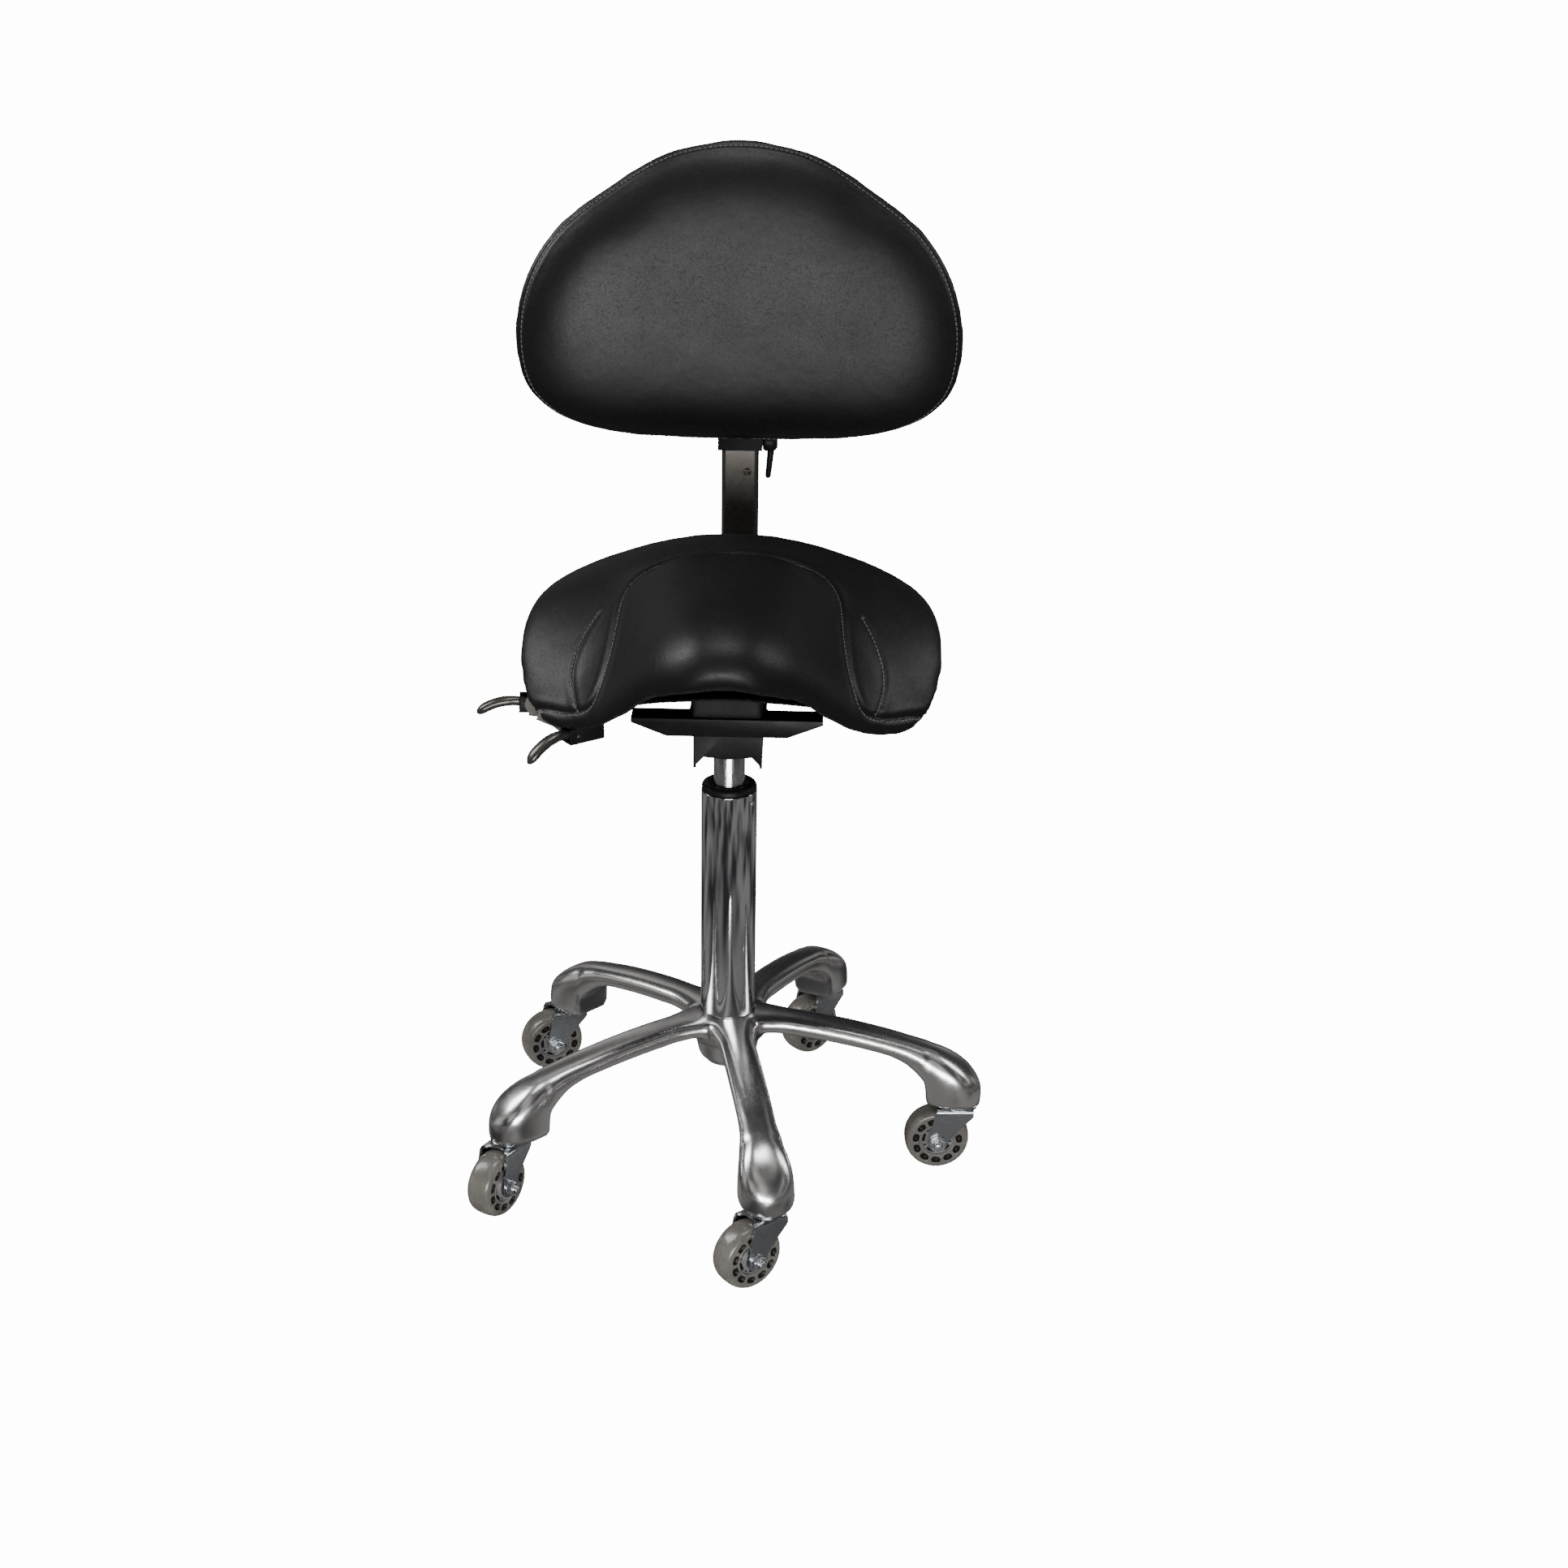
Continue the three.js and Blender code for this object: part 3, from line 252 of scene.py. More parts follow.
def joined(name, *objs):
    """One object from several; the others go."""
    work = bmesh.new()
    for obj in objs:
        work.from_mesh(obj.data)
        bpy.data.objects.remove(obj)
    mesh = bpy.data.meshes.new(name)
    work.to_mesh(mesh)
    work.free()
    mesh.shade_smooth()
    return linked(name, mesh)


def remeshed(obj, voxel):
    """Voxel remesh of the object, baked."""
    remesh = obj.modifiers.new("Remesh", "REMESH")
    remesh.mode = "VOXEL"
    remesh.voxel_size = voxel
    baked(obj)
    obj.data.shade_smooth()
    return obj


def cut_by(obj, cutter):
    """Takes the cutter out of the object; cut faces keep the cutter's material."""
    boolean = obj.modifiers.new("Cut", "BOOLEAN")
    boolean.operation = "DIFFERENCE"
    boolean.solver = "EXACT"
    boolean.material_mode = "TRANSFER"
    boolean.object = cutter
    baked(obj)
    bpy.data.objects.remove(cutter)
    return obj


def coords(mesh):
    """Vertex places as an array."""
    co = np.empty(len(mesh.vertices) * 3, np.float64)
    mesh.vertices.foreach_get("co", co)
    return co.reshape(-1, 3)


def set_coords(mesh, co):
    """Writes vertex places back."""
    mesh.vertices.foreach_set("co", np.ascontiguousarray(co, np.float32).ravel())
    mesh.update()


def relaxed(obj, passes, weight=None):
    """Moves each vertex towards its neighbours' middle; weight(co) holds some of them back."""
    edges = np.empty(len(obj.data.edges) * 2, np.int64)
    obj.data.edges.foreach_get("vertices", edges)
    a, b = edges.reshape(-1, 2).T
    co = coords(obj.data)
    count = np.bincount(edges, minlength=len(co))[:, None]
    share = 0.5 * weight(co)[:, None] if weight else 0.5
    for _ in range(passes):
        total = np.zeros_like(co)
        for axis in range(3):
            total[:, axis] = (np.bincount(a, co[b, axis], len(co))
                              + np.bincount(b, co[a, axis], len(co)))
        co += share * (total / count - co)
    set_coords(obj.data, co)
    return obj


def swelled(obj, hold):
    """Cloth pressure swells the cover; hold(co) is 1 where it may move and 0 where it rests."""
    seat = settings("seat")
    start = coords(obj.data)
    cloth = obj.modifiers.new("Cover", "CLOTH")
    cloth.settings.use_pressure = True
    cloth.settings.uniform_pressure_force = seat.pressure
    cloth.settings.effector_weights.gravity = 0
    for number in range(1, SWELL_FRAMES + 1):
        bpy.context.scene.frame_set(number)
    end = coords(obj.evaluated_get(bpy.context.evaluated_depsgraph_get()).data)
    obj.modifiers.remove(cloth)
    bpy.context.scene.frame_set(1)
    move = (end - start) * hold(start)[:, None]
    length = np.linalg.norm(move, axis=1, keepdims=True)
    set_coords(obj.data, start + move * np.minimum(1, seat.swell / np.maximum(length, 1e-9)))
    return obj


def subdivided(obj):
    """One level of subdivision, baked."""
    subsurf = obj.modifiers.new("Subdivision", "SUBSURF")
    subsurf.levels = subsurf.render_levels = 1
    baked(obj)
    obj.data.shade_smooth()
    return obj


def smooth_line(points, per_span=24):
    """Catmull-Rom line through points, in metres."""
    pts = [Vector(p) for p in points]
    pts = [2 * pts[0] - pts[1], *pts, 2 * pts[-1] - pts[-2]]
    line = []
    for k in range(1, len(pts) - 2):
        p0, p1, p2, p3 = pts[k - 1:k + 3]
        for i in range(per_span):
            t = i / per_span
            line.append(0.5 * (2 * p1 + (p2 - p0) * t + (2 * p0 - 5 * p1 + 4 * p2 - p3) * t * t
                               + (3 * p1 - p0 - 3 * p2 + p3) * t ** 3))
    return [*line, pts[-2]]


def smoothstep(t):
    """0 to 1 with flat ends, on a number or an array."""
    t = np.clip(t, 0, 1)
    return t * t * (3 - 2 * t)


def spow(v, p):
    """Power that keeps the sign."""
    return math.copysign(abs(v) ** p, v) if abs(v) > 1e-9 else 0.0


# ---------------------------------------------------------------- shader helpers
class Graph:
    """Short way to add and link shader nodes."""

    def __init__(self, tree):
        self.tree = tree

    def add(self, kind, inputs=None, **props):
        """Node of a kind with its properties set and its inputs filled or linked."""
        node = self.tree.nodes.new(kind)
        for key, value in props.items():
            setattr(node, key, value)
        for key, value in (inputs or {}).items():
            self.put(node.inputs[key], value)
        return node

    def put(self, socket, value):
        """Links a socket to an input, or sets its value."""
        if isinstance(value, bpy.types.NodeSocket):
            self.tree.links.new(value, socket)
        else:
            socket.default_value = value

    def math(self, operation, a, b=0.0, clamp=False):
        """Math node's result."""
        node = self.add("ShaderNodeMath", {0: a, 1: b}, operation=operation, use_clamp=clamp)
        return node.outputs[0]

    def mapped(self, value, low, high, to_low=0.0, to_high=1.0):
        """Value moved from one range to another, held inside it."""
        return self.add("ShaderNodeMapRange", {
            "Value": value, "From Min": low, "From Max": high, "To Min": to_low, "To Max": to_high,
        }).outputs[0]

    def mixed(self, factor, a, b):
        """Colour between two colours."""
        node = self.add("ShaderNodeMix", data_type="RGBA")
        self.put(node.inputs["Factor"], factor)
        self.put(node.inputs[6], a)
        self.put(node.inputs[7], b)
        return node.outputs[2]

    def noise(self, place, scale, detail=3.0, roughness=0.5):
        """Noise value at a place."""
        return self.add("ShaderNodeTexNoise", {
            "Vector": place, "Scale": scale, "Detail": detail, "Roughness": roughness,
        }).outputs[0]


def effect(name, inputs, outputs, build):
    """Shader node group, made once."""
    if name in bpy.data.node_groups:
        return bpy.data.node_groups[name]
    tree = bpy.data.node_groups.new(name, "ShaderNodeTree")
    for label, kind, default in inputs:
        socket = tree.interface.new_socket(label, in_out="INPUT", socket_type=kind)
        if default is not None:
            socket.default_value = default
    for label, kind in outputs:
        tree.interface.new_socket(label, in_out="OUTPUT", socket_type=kind)
    graph = Graph(tree)
    source = graph.add("NodeGroupInput")
    sink = graph.add("NodeGroupOutput")
    for label, socket in build(graph, source.outputs).items():
        graph.put(sink.inputs[label], socket)
    return tree


def build_wear(graph, given):
    """Cloudy patches and fine scratches."""
    cloud = graph.noise(given["Place"], given["Scale"], 5.0, 0.6)
    stretched = graph.add(
        "ShaderNodeVectorMath", {0: given["Place"], 1: given["Stretch"]}, operation="MULTIPLY")
    line = graph.noise(stretched.outputs[0], given["Scratch Scale"], 2.0, 0.7)
    return {
        "Cloud": graph.mapped(cloud, 0.32, 0.68),
        "Scratch": graph.mapped(line, 0.56, 0.72),
    }


def wear_effect():
    """Node group of wear masks."""
    return effect(
        "Wear",
        [("Place", "NodeSocketVector", None), ("Scale", "NodeSocketFloat", 20.0),
         ("Stretch", "NodeSocketVector", (1.0, 1.0, 0.06)), ("Scratch Scale", "NodeSocketFloat", 600.0)],
        [("Cloud", "NodeSocketFloat"), ("Scratch", "NodeSocketFloat")],
        build_wear,
    )


def build_grain(graph, given):
    """Pebbled cells with creases between them, over slow hills."""
    cells = graph.add("ShaderNodeTexVoronoi", {
        "Vector": given["Place"], "Scale": given["Cell Scale"], "Randomness": 0.9,
    }, feature="SMOOTH_F1")
    pores = graph.noise(given["Place"], graph.math("MULTIPLY", given["Cell Scale"], 2.3), 2.0)
    hills = graph.noise(given["Place"], given["Hill Scale"], 3.0)
    height = graph.math("ADD", graph.math("MULTIPLY", cells.outputs["Distance"], -0.8),
                        graph.math("MULTIPLY", pores, 0.25))
    return {
        "Height": height,
        "Hills": hills,
        "Crease": graph.mapped(cells.outputs["Distance"], 0.35, 0.75),
    }


def grain_effect():
    """Node group of leather or moulded grain."""
    return effect(
        "Grain",
        [("Place", "NodeSocketVector", None), ("Cell Scale", "NodeSocketFloat", 900.0),
         ("Hill Scale", "NodeSocketFloat", 30.0)],
        [("Height", "NodeSocketFloat"), ("Hills", "NodeSocketFloat"), ("Crease", "NodeSocketFloat")],
        build_grain,
    )


def shade(value, tint):
    """Colour with alpha, scaled."""
    return (*[min(c * value, 1.0) for c in tint], 1.0)


def material(name):
    """New material with its graph, shader and object coordinates, or None where it exists."""
    if name in bpy.data.materials:
        return None
    made = bpy.data.materials.new(name)
    made.use_nodes = True
    graph = Graph(made.node_tree)
    place = graph.add("ShaderNodeTexCoord").outputs["Object"]
    return graph, made.node_tree.nodes["Principled BSDF"], place


def bumped(graph, height, strength, distance, normal=None):
    """Normal from a height."""
    inputs = {"Height": height, "Strength": strength, "Distance": distance}
    if normal is not None:
        inputs["Normal"] = normal
    return graph.add("ShaderNodeBump", inputs).outputs["Normal"]


def leather():
    """Black upholstery: fine pebbled grain with its creases painted darker as painted shade, satin with slow
    changes of gloss.
    """
    made = material("upholstery_leather")
    if made:
        graph, shader, place = made
        tint = settings("finish").leather
        grain = graph.add("ShaderNodeGroup", {"Place": place}, node_tree=grain_effect())
        patches = graph.noise(place, 9.0, 4.0)
        # Creases of the grain are painted darker than the cells: painted shade.
        graph.put(shader.inputs["Base Color"], graph.mixed(
            grain.outputs["Crease"], shade(1.15, tint), shade(0.7, tint)))
        gloss = graph.math("ADD", graph.mapped(patches, 0.3, 0.7, 0.40, 0.47),
                           graph.math("MULTIPLY", grain.outputs["Crease"], 0.12))
        graph.put(shader.inputs["Roughness"], gloss)
        slow = bumped(graph, grain.outputs["Hills"], 0.16, 0.004)
        graph.put(shader.inputs["Normal"], bumped(graph, grain.outputs["Height"], 0.35, 0.00018, slow))
        shader.inputs["Specular IOR Level"].default_value = 0.33
    return bpy.data.materials["upholstery_leather"]


def metal(name, tint, rough, cloud_rough, scratch_rough, scale=18.0, stretch=(1.0, 1.0, 0.06), bump=0.0,
          scratch_scale=600.0, metallic=1.0, darken=0.86):
    """Metal with cloudy gloss, fine scratches and a slight waviness."""
    made = material(name)
    if made:
        graph, shader, place = made
        wear = graph.add("ShaderNodeGroup", {
            "Place": place, "Scale": scale, "Stretch": stretch, "Scratch Scale": scratch_scale,
        }, node_tree=wear_effect())
        shader.inputs["Metallic"].default_value = metallic
        graph.put(shader.inputs["Base Color"], graph.mixed(
            wear.outputs["Cloud"], shade(1.0, tint), shade(darken, tint)))
        gloss = graph.math("MULTIPLY", wear.outputs["Cloud"], cloud_rough)
        gloss = graph.math("ADD", gloss, graph.math("MULTIPLY", wear.outputs["Scratch"], scratch_rough))
        graph.put(shader.inputs["Roughness"], graph.math("ADD", gloss, rough))
        if bump:
            waves = graph.noise(place, scale * 1.7, 2.0)
            graph.put(shader.inputs["Normal"], bumped(graph, waves, bump, 0.002))
    return bpy.data.materials[name]


def casting():
    """Polished aluminium, slightly wavy from the mop."""
    return metal("polished_casting", settings("finish").casting, 0.21, 0.07, 0.015,
                 scale=26.0, stretch=(1.0, 1.0, 0.4), bump=0.02, scratch_scale=420.0)


def chrome():
    """Plated tube with faint handling marks."""
    return metal("column_chrome", settings("finish").chrome, 0.045, 0.05, 0.10, scale=22.0, darken=0.93)


def scuffed_chrome():
    """Plating of the cylinder, rubbed by its guide."""
    return metal("cylinder_chrome", settings("finish").chrome, 0.10, 0.14, 0.22, scale=140.0,
                 stretch=(1.0, 1.0, 0.2), scratch_scale=900.0, darken=0.72)


def zinc():
    """Bright zinc plate on pressed steel."""
    return metal("caster_zinc", settings("finish").zinc, 0.12, 0.14, 0.08, scale=120.0,
                 stretch=(0.3, 1.0, 1.0), bump=0.05, darken=0.78)


def bright_zinc():
    """Plating of nuts, bolts and rivets, brighter than the pressed parts."""
    return metal("fastener_zinc", (0.86, 0.89, 0.93), 0.20, 0.08, 0.05, scale=120.0, darken=0.86)


def steel():
    """Plain turned steel."""
    return metal("turned_steel", (0.42, 0.43, 0.44), 0.26, 0.12, 0.10, scale=90.0)


def bronze():
    """Dark bronze satin coat."""
    return metal("bronze_satin", settings("finish").bronze, 0.27, 0.08, 0.05, scale=60.0, metallic=0.85,
                 bump=0.03)


def coated(name, tint, rough, cell_scale, depth, shine=0.22):
    """Non-metal with a fine moulded or sprayed texture."""
    made = material(name)
    if made:
        graph, shader, place = made
        grain = graph.add("ShaderNodeGroup", {
            "Place": place, "Cell Scale": cell_scale, "Hill Scale": 60.0,
        }, node_tree=grain_effect())
        dust = graph.mapped(graph.noise(place, 45.0, 5.0, 0.65), 0.52, 0.8, 0.0, 0.5)
        graph.put(shader.inputs["Base Color"], graph.mixed(dust, shade(1.0, tint), shade(2.6, tint)))
        gloss = graph.mapped(grain.outputs["Hills"], 0.3, 0.7, rough, rough + 0.12)
        graph.put(shader.inputs["Roughness"], gloss)
        graph.put(shader.inputs["Normal"], bumped(graph, grain.outputs["Height"], 0.3, depth))
        shader.inputs["Specular IOR Level"].default_value = shine
    return bpy.data.materials[name]


def powder_coat():
    """Black powder coat of the mechanism."""
    return coated("black_powder_coat", settings("finish").coat, 0.42, 1400.0, 0.00012)


def moulding():
    """Black moulded plastic."""
    return coated("black_moulding", settings("finish").moulding, 0.38, 1800.0, 0.00006)


def shell_moulding():
    """Textured black shell."""
    return coated("shell_moulding", settings("finish").moulding, 0.5, 1100.0, 0.00016)


def thread():
    """Twisted sewing thread."""
    return coated("sewing_thread", settings("finish").thread, 0.6, 2600.0, 0.0001)


def tyre_rubber():
    """Smoky soft tyre with a thin coat."""
    made = material("smoky_tyre")
    if made:
        graph, shader, place = made
        tint = settings("finish").tyre
        haze = graph.mapped(graph.noise(place, 70.0, 4.0), 0.35, 0.7)
        dirt = graph.mapped(graph.noise(place, 260.0, 5.0, 0.7), 0.55, 0.75, 0.0, 0.55)
        body = graph.mixed(haze, shade(1.0, tint), shade(0.72, tint))
        graph.put(shader.inputs["Base Color"], graph.mixed(dirt, body, shade(0.35, tint)))
        graph.put(shader.inputs["Roughness"], graph.mapped(haze, 0.0, 1.0, 0.22, 0.36))
        shader.inputs["Coat Weight"].default_value = 0.25
        graph.put(shader.inputs["Normal"], bumped(graph, graph.noise(place, 160.0, 3.0), 0.12, 0.0008))
    return bpy.data.materials["smoky_tyre"]


def wheel_plastic():
    """Grey wheel centre."""
    return coated("wheel_plastic", settings("finish").centre, 0.34, 900.0, 0.00008, 0.45)


def window_dark():
    """Near-black inside of the wheel's windows: painted shade in the recesses."""
    return coated("window_dark", (0.008, 0.0078, 0.0075), 0.35, 900.0, 0.00006)


def label_cloth():
    """Woven label: dark cloth with a paler weave."""
    made = material("woven_label")
    if made:
        graph, shader, place = made
        weave = graph.add("ShaderNodeTexWave", {
            "Vector": place, "Scale": 900.0, "Distortion": 0.4, "Detail": 1.0,
        }).outputs["Fac"]
        threads = graph.mixed(weave, (0.03, 0.03, 0.03, 1), (0.16, 0.15, 0.12, 1))
        graph.put(shader.inputs["Base Color"], threads)
        shader.inputs["Roughness"].default_value = 0.8
        graph.put(shader.inputs["Normal"], bumped(graph, weave, 0.4, 0.0002))
    return bpy.data.materials["woven_label"]


def finished(obj, look, body, slot, *nodes):
    """Gives a piece its material and its body, and hides the nodes it stands for; its slot argument is not
    used.
    """
    if not obj.data.materials:
        obj.data.materials.append(look)
    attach(obj, body)
    if nodes:
        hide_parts(*nodes)
    return obj


def dressed(node, look):
    """Gives a CAD node that stays a new material."""
    obj = frame["nodes"][node]
    obj.data.materials.clear()
    obj.data.materials.append(look)


def crisp_copy(name, node, radius, segments=2):
    """Copy of a CAD node with merged flats and rounded edges."""
    mesh = frame["nodes"][node].data.copy()
    work = bmesh.new()
    work.from_mesh(mesh)
    bmesh.ops.remove_doubles(work, verts=work.verts, dist=1e-5)
    bmesh.ops.dissolve_limit(work, angle_limit=math.radians(2), verts=work.verts, edges=work.edges)
    work.to_mesh(mesh)
    work.free()
    mesh.materials.clear()
    return rounded(linked(name, mesh), radius, segments)


# ---------------------------------------------------------------- stitches
def stitch_tree(look):
    """Node tree that lays stitches along a curve."""
    name = "Stitch row"
    if name in bpy.data.node_groups:
        return bpy.data.node_groups[name]
    tree = bpy.data.node_groups.new(name, "GeometryNodeTree")
    tree.interface.new_socket("Geometry", in_out="INPUT", socket_type="NodeSocketGeometry")
    for label in ("Pitch", "Length", "Radius"):
        tree.interface.new_socket(label, in_out="INPUT", socket_type="NodeSocketFloat")
    tree.interface.new_socket("Geometry", in_out="OUTPUT", socket_type="NodeSocketGeometry")
    graph = Graph(tree)
    given = graph.add("NodeGroupInput").outputs
    row = graph.add("GeometryNodeCurveToPoints", {"Curve": given["Geometry"], "Length": given["Pitch"]},
                    mode="LENGTH")
    loop = graph.add("GeometryNodeMeshCylinder", {
        "Vertices": 8, "Side Segments": 4, "Radius": given["Radius"], "Depth": given["Length"],
    }, fill_type="TRIANGLE_FAN")
    place = graph.add("GeometryNodeInputPosition").outputs[0]
    height = graph.add("ShaderNodeSeparateXYZ", {0: place}).outputs[2]
    along = graph.math("DIVIDE", height, given["Length"])
    sink = graph.math("MULTIPLY", graph.math("MULTIPLY", along, along), -3.4)
    drop = graph.add("ShaderNodeCombineXYZ", {0: graph.math("MULTIPLY", sink, given["Radius"])})
    bent = graph.add(
        "GeometryNodeSetPosition", {"Geometry": loop.outputs["Mesh"], "Offset": drop.outputs[0]})
    placed = graph.add("GeometryNodeInstanceOnPoints", {
        "Points": row.outputs["Points"], "Instance": bent.outputs[0], "Rotation": row.outputs["Rotation"],
    })
    real = graph.add("GeometryNodeRealizeInstances", {0: placed.outputs[0]})
    smooth = graph.add("GeometryNodeSetShadeSmooth", {0: real.outputs[0]})
    dyed = graph.add("GeometryNodeSetMaterial", {0: smooth.outputs[0], "Material": look})
    graph.put(graph.add("NodeGroupOutput").inputs[0], dyed.outputs[0])
    return tree


def stitch_rows(name, lines, cover, body, slot):
    """Rows of stitches that lie on a cover along lines of points."""
    seat = settings("seat")
    surface = BVHTree.FromObject(cover, bpy.context.evaluated_depsgraph_get())
    curve = bpy.data.curves.new(name, "CURVE")
    curve.dimensions = "3D"
    curve.twist_mode = "MINIMUM"
    for line in lines:
        spline = curve.splines.new("POLY")
        spline.points.add(len(line) - 1)
        for point, place in zip(spline.points, line):
            spot, normal, _, _ = surface.find_nearest(place)
            point.co = (*(spot + normal * seat.thread_radius * 0.4), 1)
    path = linked(name, curve)
    modifier = path.modifiers.new("Stitches", "NODES")
    tree = stitch_tree(thread())
    modifier.node_group = tree
    sizes = {"Pitch": seat.stitch_pitch, "Length": seat.stitch_length, "Radius": seat.thread_radius}
    for item in tree.interface.items_tree:
        if item.in_out == "INPUT" and item.name in sizes:
            modifier[item.identifier] = sizes[item.name]
    mesh = bpy.data.meshes.new_from_object(path.evaluated_get(bpy.context.evaluated_depsgraph_get()))
    bpy.data.objects.remove(path)
    finished(linked(name, mesh), thread(), body, slot)


def seamed(obj, lines, depth, width, puff=0.35):
    """Draws the cover in along lines and lifts it a little beside them."""
    points = [p for line in lines for p in line]
    tree = KDTree(len(points))
    for i, p in enumerate(points):
        tree.insert(p, i)
    tree.balance()
    co = coords(obj.data)
    normals = np.empty(len(co) * 3, np.float64)
    obj.data.vertices.foreach_get("normal", normals)
    d = np.array([tree.find(p)[2] for p in co])
    valley = np.exp(-(d / width) ** 2)
    shoulder = np.exp(-((d - 3.2 * width) / (1.6 * width)) ** 2)
    set_coords(obj.data, co - normals.reshape(-1, 3) * (depth * (valley - puff * shoulder))[:, None])


def on_cover(obj, line):
    """Line moved onto the nearest points of a cover."""
    surface = BVHTree.FromObject(obj, bpy.context.evaluated_depsgraph_get())
    return [surface.find_nearest(p)[0] for p in line]


# ---------------------------------------------------------------- star base
def joint_place(name):
    """Place of a joint."""
    return Vector(JOINTS[name]["pos_m"])


def hub_top():
    """Height of the hub's rim, where the tube's shoulder rests."""
    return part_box("column_tube")[0].z + 51.2 * MM


def arm_rings(reach, foot_low, hub_high):
    """Rings of one arm along +X: crowned top, arched underside, round foot."""
    foot_r, arm_w, arm_h, start = 24 * MM, 33 * MM, 17 * MM, 20 * MM
    foot_in, nose = reach - 31.5 * MM, reach - 34 * MM
    end = reach + foot_r - 5.5 * MM
    rings, spans, sides = [], 89, 40
    for k in range(spans + 1):
        r = start + (end - start) * (1 - (1 - k / spans) ** 1.4)
        past_hub = r / MM - 40
        slope = hub_high + (0.8 - 0.05 * past_hub - 0.00075 * past_hub ** 2) * MM
        drop = min(max((r - nose) / (end + 0.5 * MM - nose), 0), 1)
        top = slope - (slope - foot_low) * (1 - math.sqrt(1 - 0.86 * drop ** 2.6))
        t = min(max((r - foot_in + 50 * MM) / (50 * MM), 0), 1)
        arch = top - arm_h
        low = foot_low if r >= foot_in else arch - (arch - foot_low - 20 * MM) * t ** 3.2
        foot = smoothstep((r - foot_in + 23 * MM) / (45 * MM))
        root = 1 - smoothstep((r - 25.4 * MM) / (35 * MM))
        past = min(max((r - reach + 6 * MM) / (end - reach + 6 * MM), 0), 1)
        half = arm_w / 2 + (foot_r - arm_w / 2) * foot + 6 * MM * root
        half *= math.sqrt(max(1 - past ** 2.2, 0.04))
        ring = []
        for i in range(sides):
            a = 2 * math.pi * i / sides
            up = math.sin(a) > 0
            y = half * spow(math.cos(a), 0.72 if up else 0.5 - 0.2 * foot)
            s = spow(math.sin(a), 0.72 if up else 0.25 - 0.1 * foot)
            y *= 1 - 0.05 * foot * s
            ring.append((r, y, (top + low) / 2 + s * (top - low) / 2))
        rings.append(ring)
    return rings


def make_casting():
    """Star base as one casting with filleted arms."""
    base = settings("base")
    foot_low, hub_low, hub_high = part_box("star_base")[0].z, 97 * MM, hub_top()
    stem = joint_place("caster_swivel_1")
    reach = math.hypot(stem.x, stem.y)
    turn = math.atan2(stem.y, stem.x)
    parts = [turned("hub", [
        (0.5 * MM, hub_low), (20 * MM, hub_low), (26 * MM, hub_low), (28 * MM, hub_low + 8 * MM),
        (30 * MM, 118 * MM), (38 * MM, 124 * MM), (36 * MM, 131 * MM), (29 * MM, 138 * MM),
        (25.4 * MM, hub_high), (20 * MM, hub_high), (0.5 * MM, hub_high),
    ])]
    for i in range(len(CASTERS)):
        arm = skin("arm", arm_rings(reach, foot_low, hub_high))
        arm.data.transform(Matrix.Rotation(turn + i * 2 * math.pi / len(CASTERS), 4, "Z"))
        parts.append(arm)
    star = remeshed(joined("five_star_base", *parts), base.casting_detail)

    def near_hub(co):
        r = np.hypot(co[:, 0], co[:, 1])
        rim = (co[:, 2] > hub_high - 3 * MM) & (r < 30 * MM)
        return np.where(rim, 0.0, np.clip((75 * MM - r) / (40 * MM), 0, 1))

    relaxed(star, base.fillet_passes, near_hub)
    flat = foot_low + 1.2 * MM
    relaxed(star, 18, lambda co: np.where(co[:, 2] < flat, 0.15, 1.0))
    star.data.materials.append(casting())
    spigot, tube, seat, above = 21.8 * MM, 25.3 * MM, hub_high + 0.3 * MM, 200 * MM
    bore = turned("bore", [(0.1 * MM, 50 * MM), (spigot, 50 * MM), (spigot, seat), (tube, seat),
                           (tube, above), (0.1 * MM, above)], 64)
    bore.data.materials.append(casting())
    cut_by(star, bore)
    finished(star, casting(), "base", "polished_aluminium", "star_base")


# ---------------------------------------------------------------- casters
def fork_mesh():
    """Pressed fork in its own frame: trail along X, axle along Y, stem at the origin."""
    trail, axle_z, crown = 21.5, 30.0, 64.8
    leg_out, bend = 15.7, 4.0
    heights = (
        [axle_z - 9.5 * math.cos(math.radians(a)) for a in (4, 18, 32, 46, 60, 75)]
        + [30.5, 34, 38, 42, 46, 50, 54, 57.5, crown - bend]
    )

    def edges(z):
        if z < axle_z:
            half = math.sqrt(max(9.5 ** 2 - (axle_z - z) ** 2, 0.3))
            return trail - half, trail + half * 0.95
        t = (z - axle_z) / (crown - axle_z)
        rear = trail - 9.5 - (trail - 9.5 + 11) * min(1, t * 1.3) ** 1.2
        return rear, trail + 9.0 - 7.5 * t ** 1.3
    rows = [(-leg_out, z, *edges(z)) for z in heights]
    top_rear, top_front = edges(crown)
    for a in (25, 55, 90):
        a = math.radians(a)
        y, z = bend * (1 - math.cos(a)) - leg_out, crown - bend * (1 - math.sin(a))
        rows.append((y, z, top_rear, top_front))
    for y in (-8.0, -4.0, 0.0):
        dip = 1 - (y / leg_out) ** 2
        rows.append((y, crown, top_rear - 4.0 * dip, top_front - 6.5 * dip))
    rows += [(-y, z, r, f) for y, z, r, f in reversed(rows[:-1])]
    cols = 14
    points = [(r + (f - r) * i / (cols - 1), y, z) for y, z, r, f in rows for i in range(cols)]
    faces = sheet_faces(len(rows), cols)
    fork = mesh_object("fork", [Vector(p) * MM for p in points], faces)
    if fork.data.polygons[len(faces) // 2].normal.z < 0:
        fork.data.flip_normals()
    solid = fork.modifiers.new("Sheet", "SOLIDIFY")
    solid.thickness = 2.4 * MM
    solid.offset = -1
    baked(fork)
    rounded(fork, 0.5 * MM, 2, 40)
    return baked(fork)


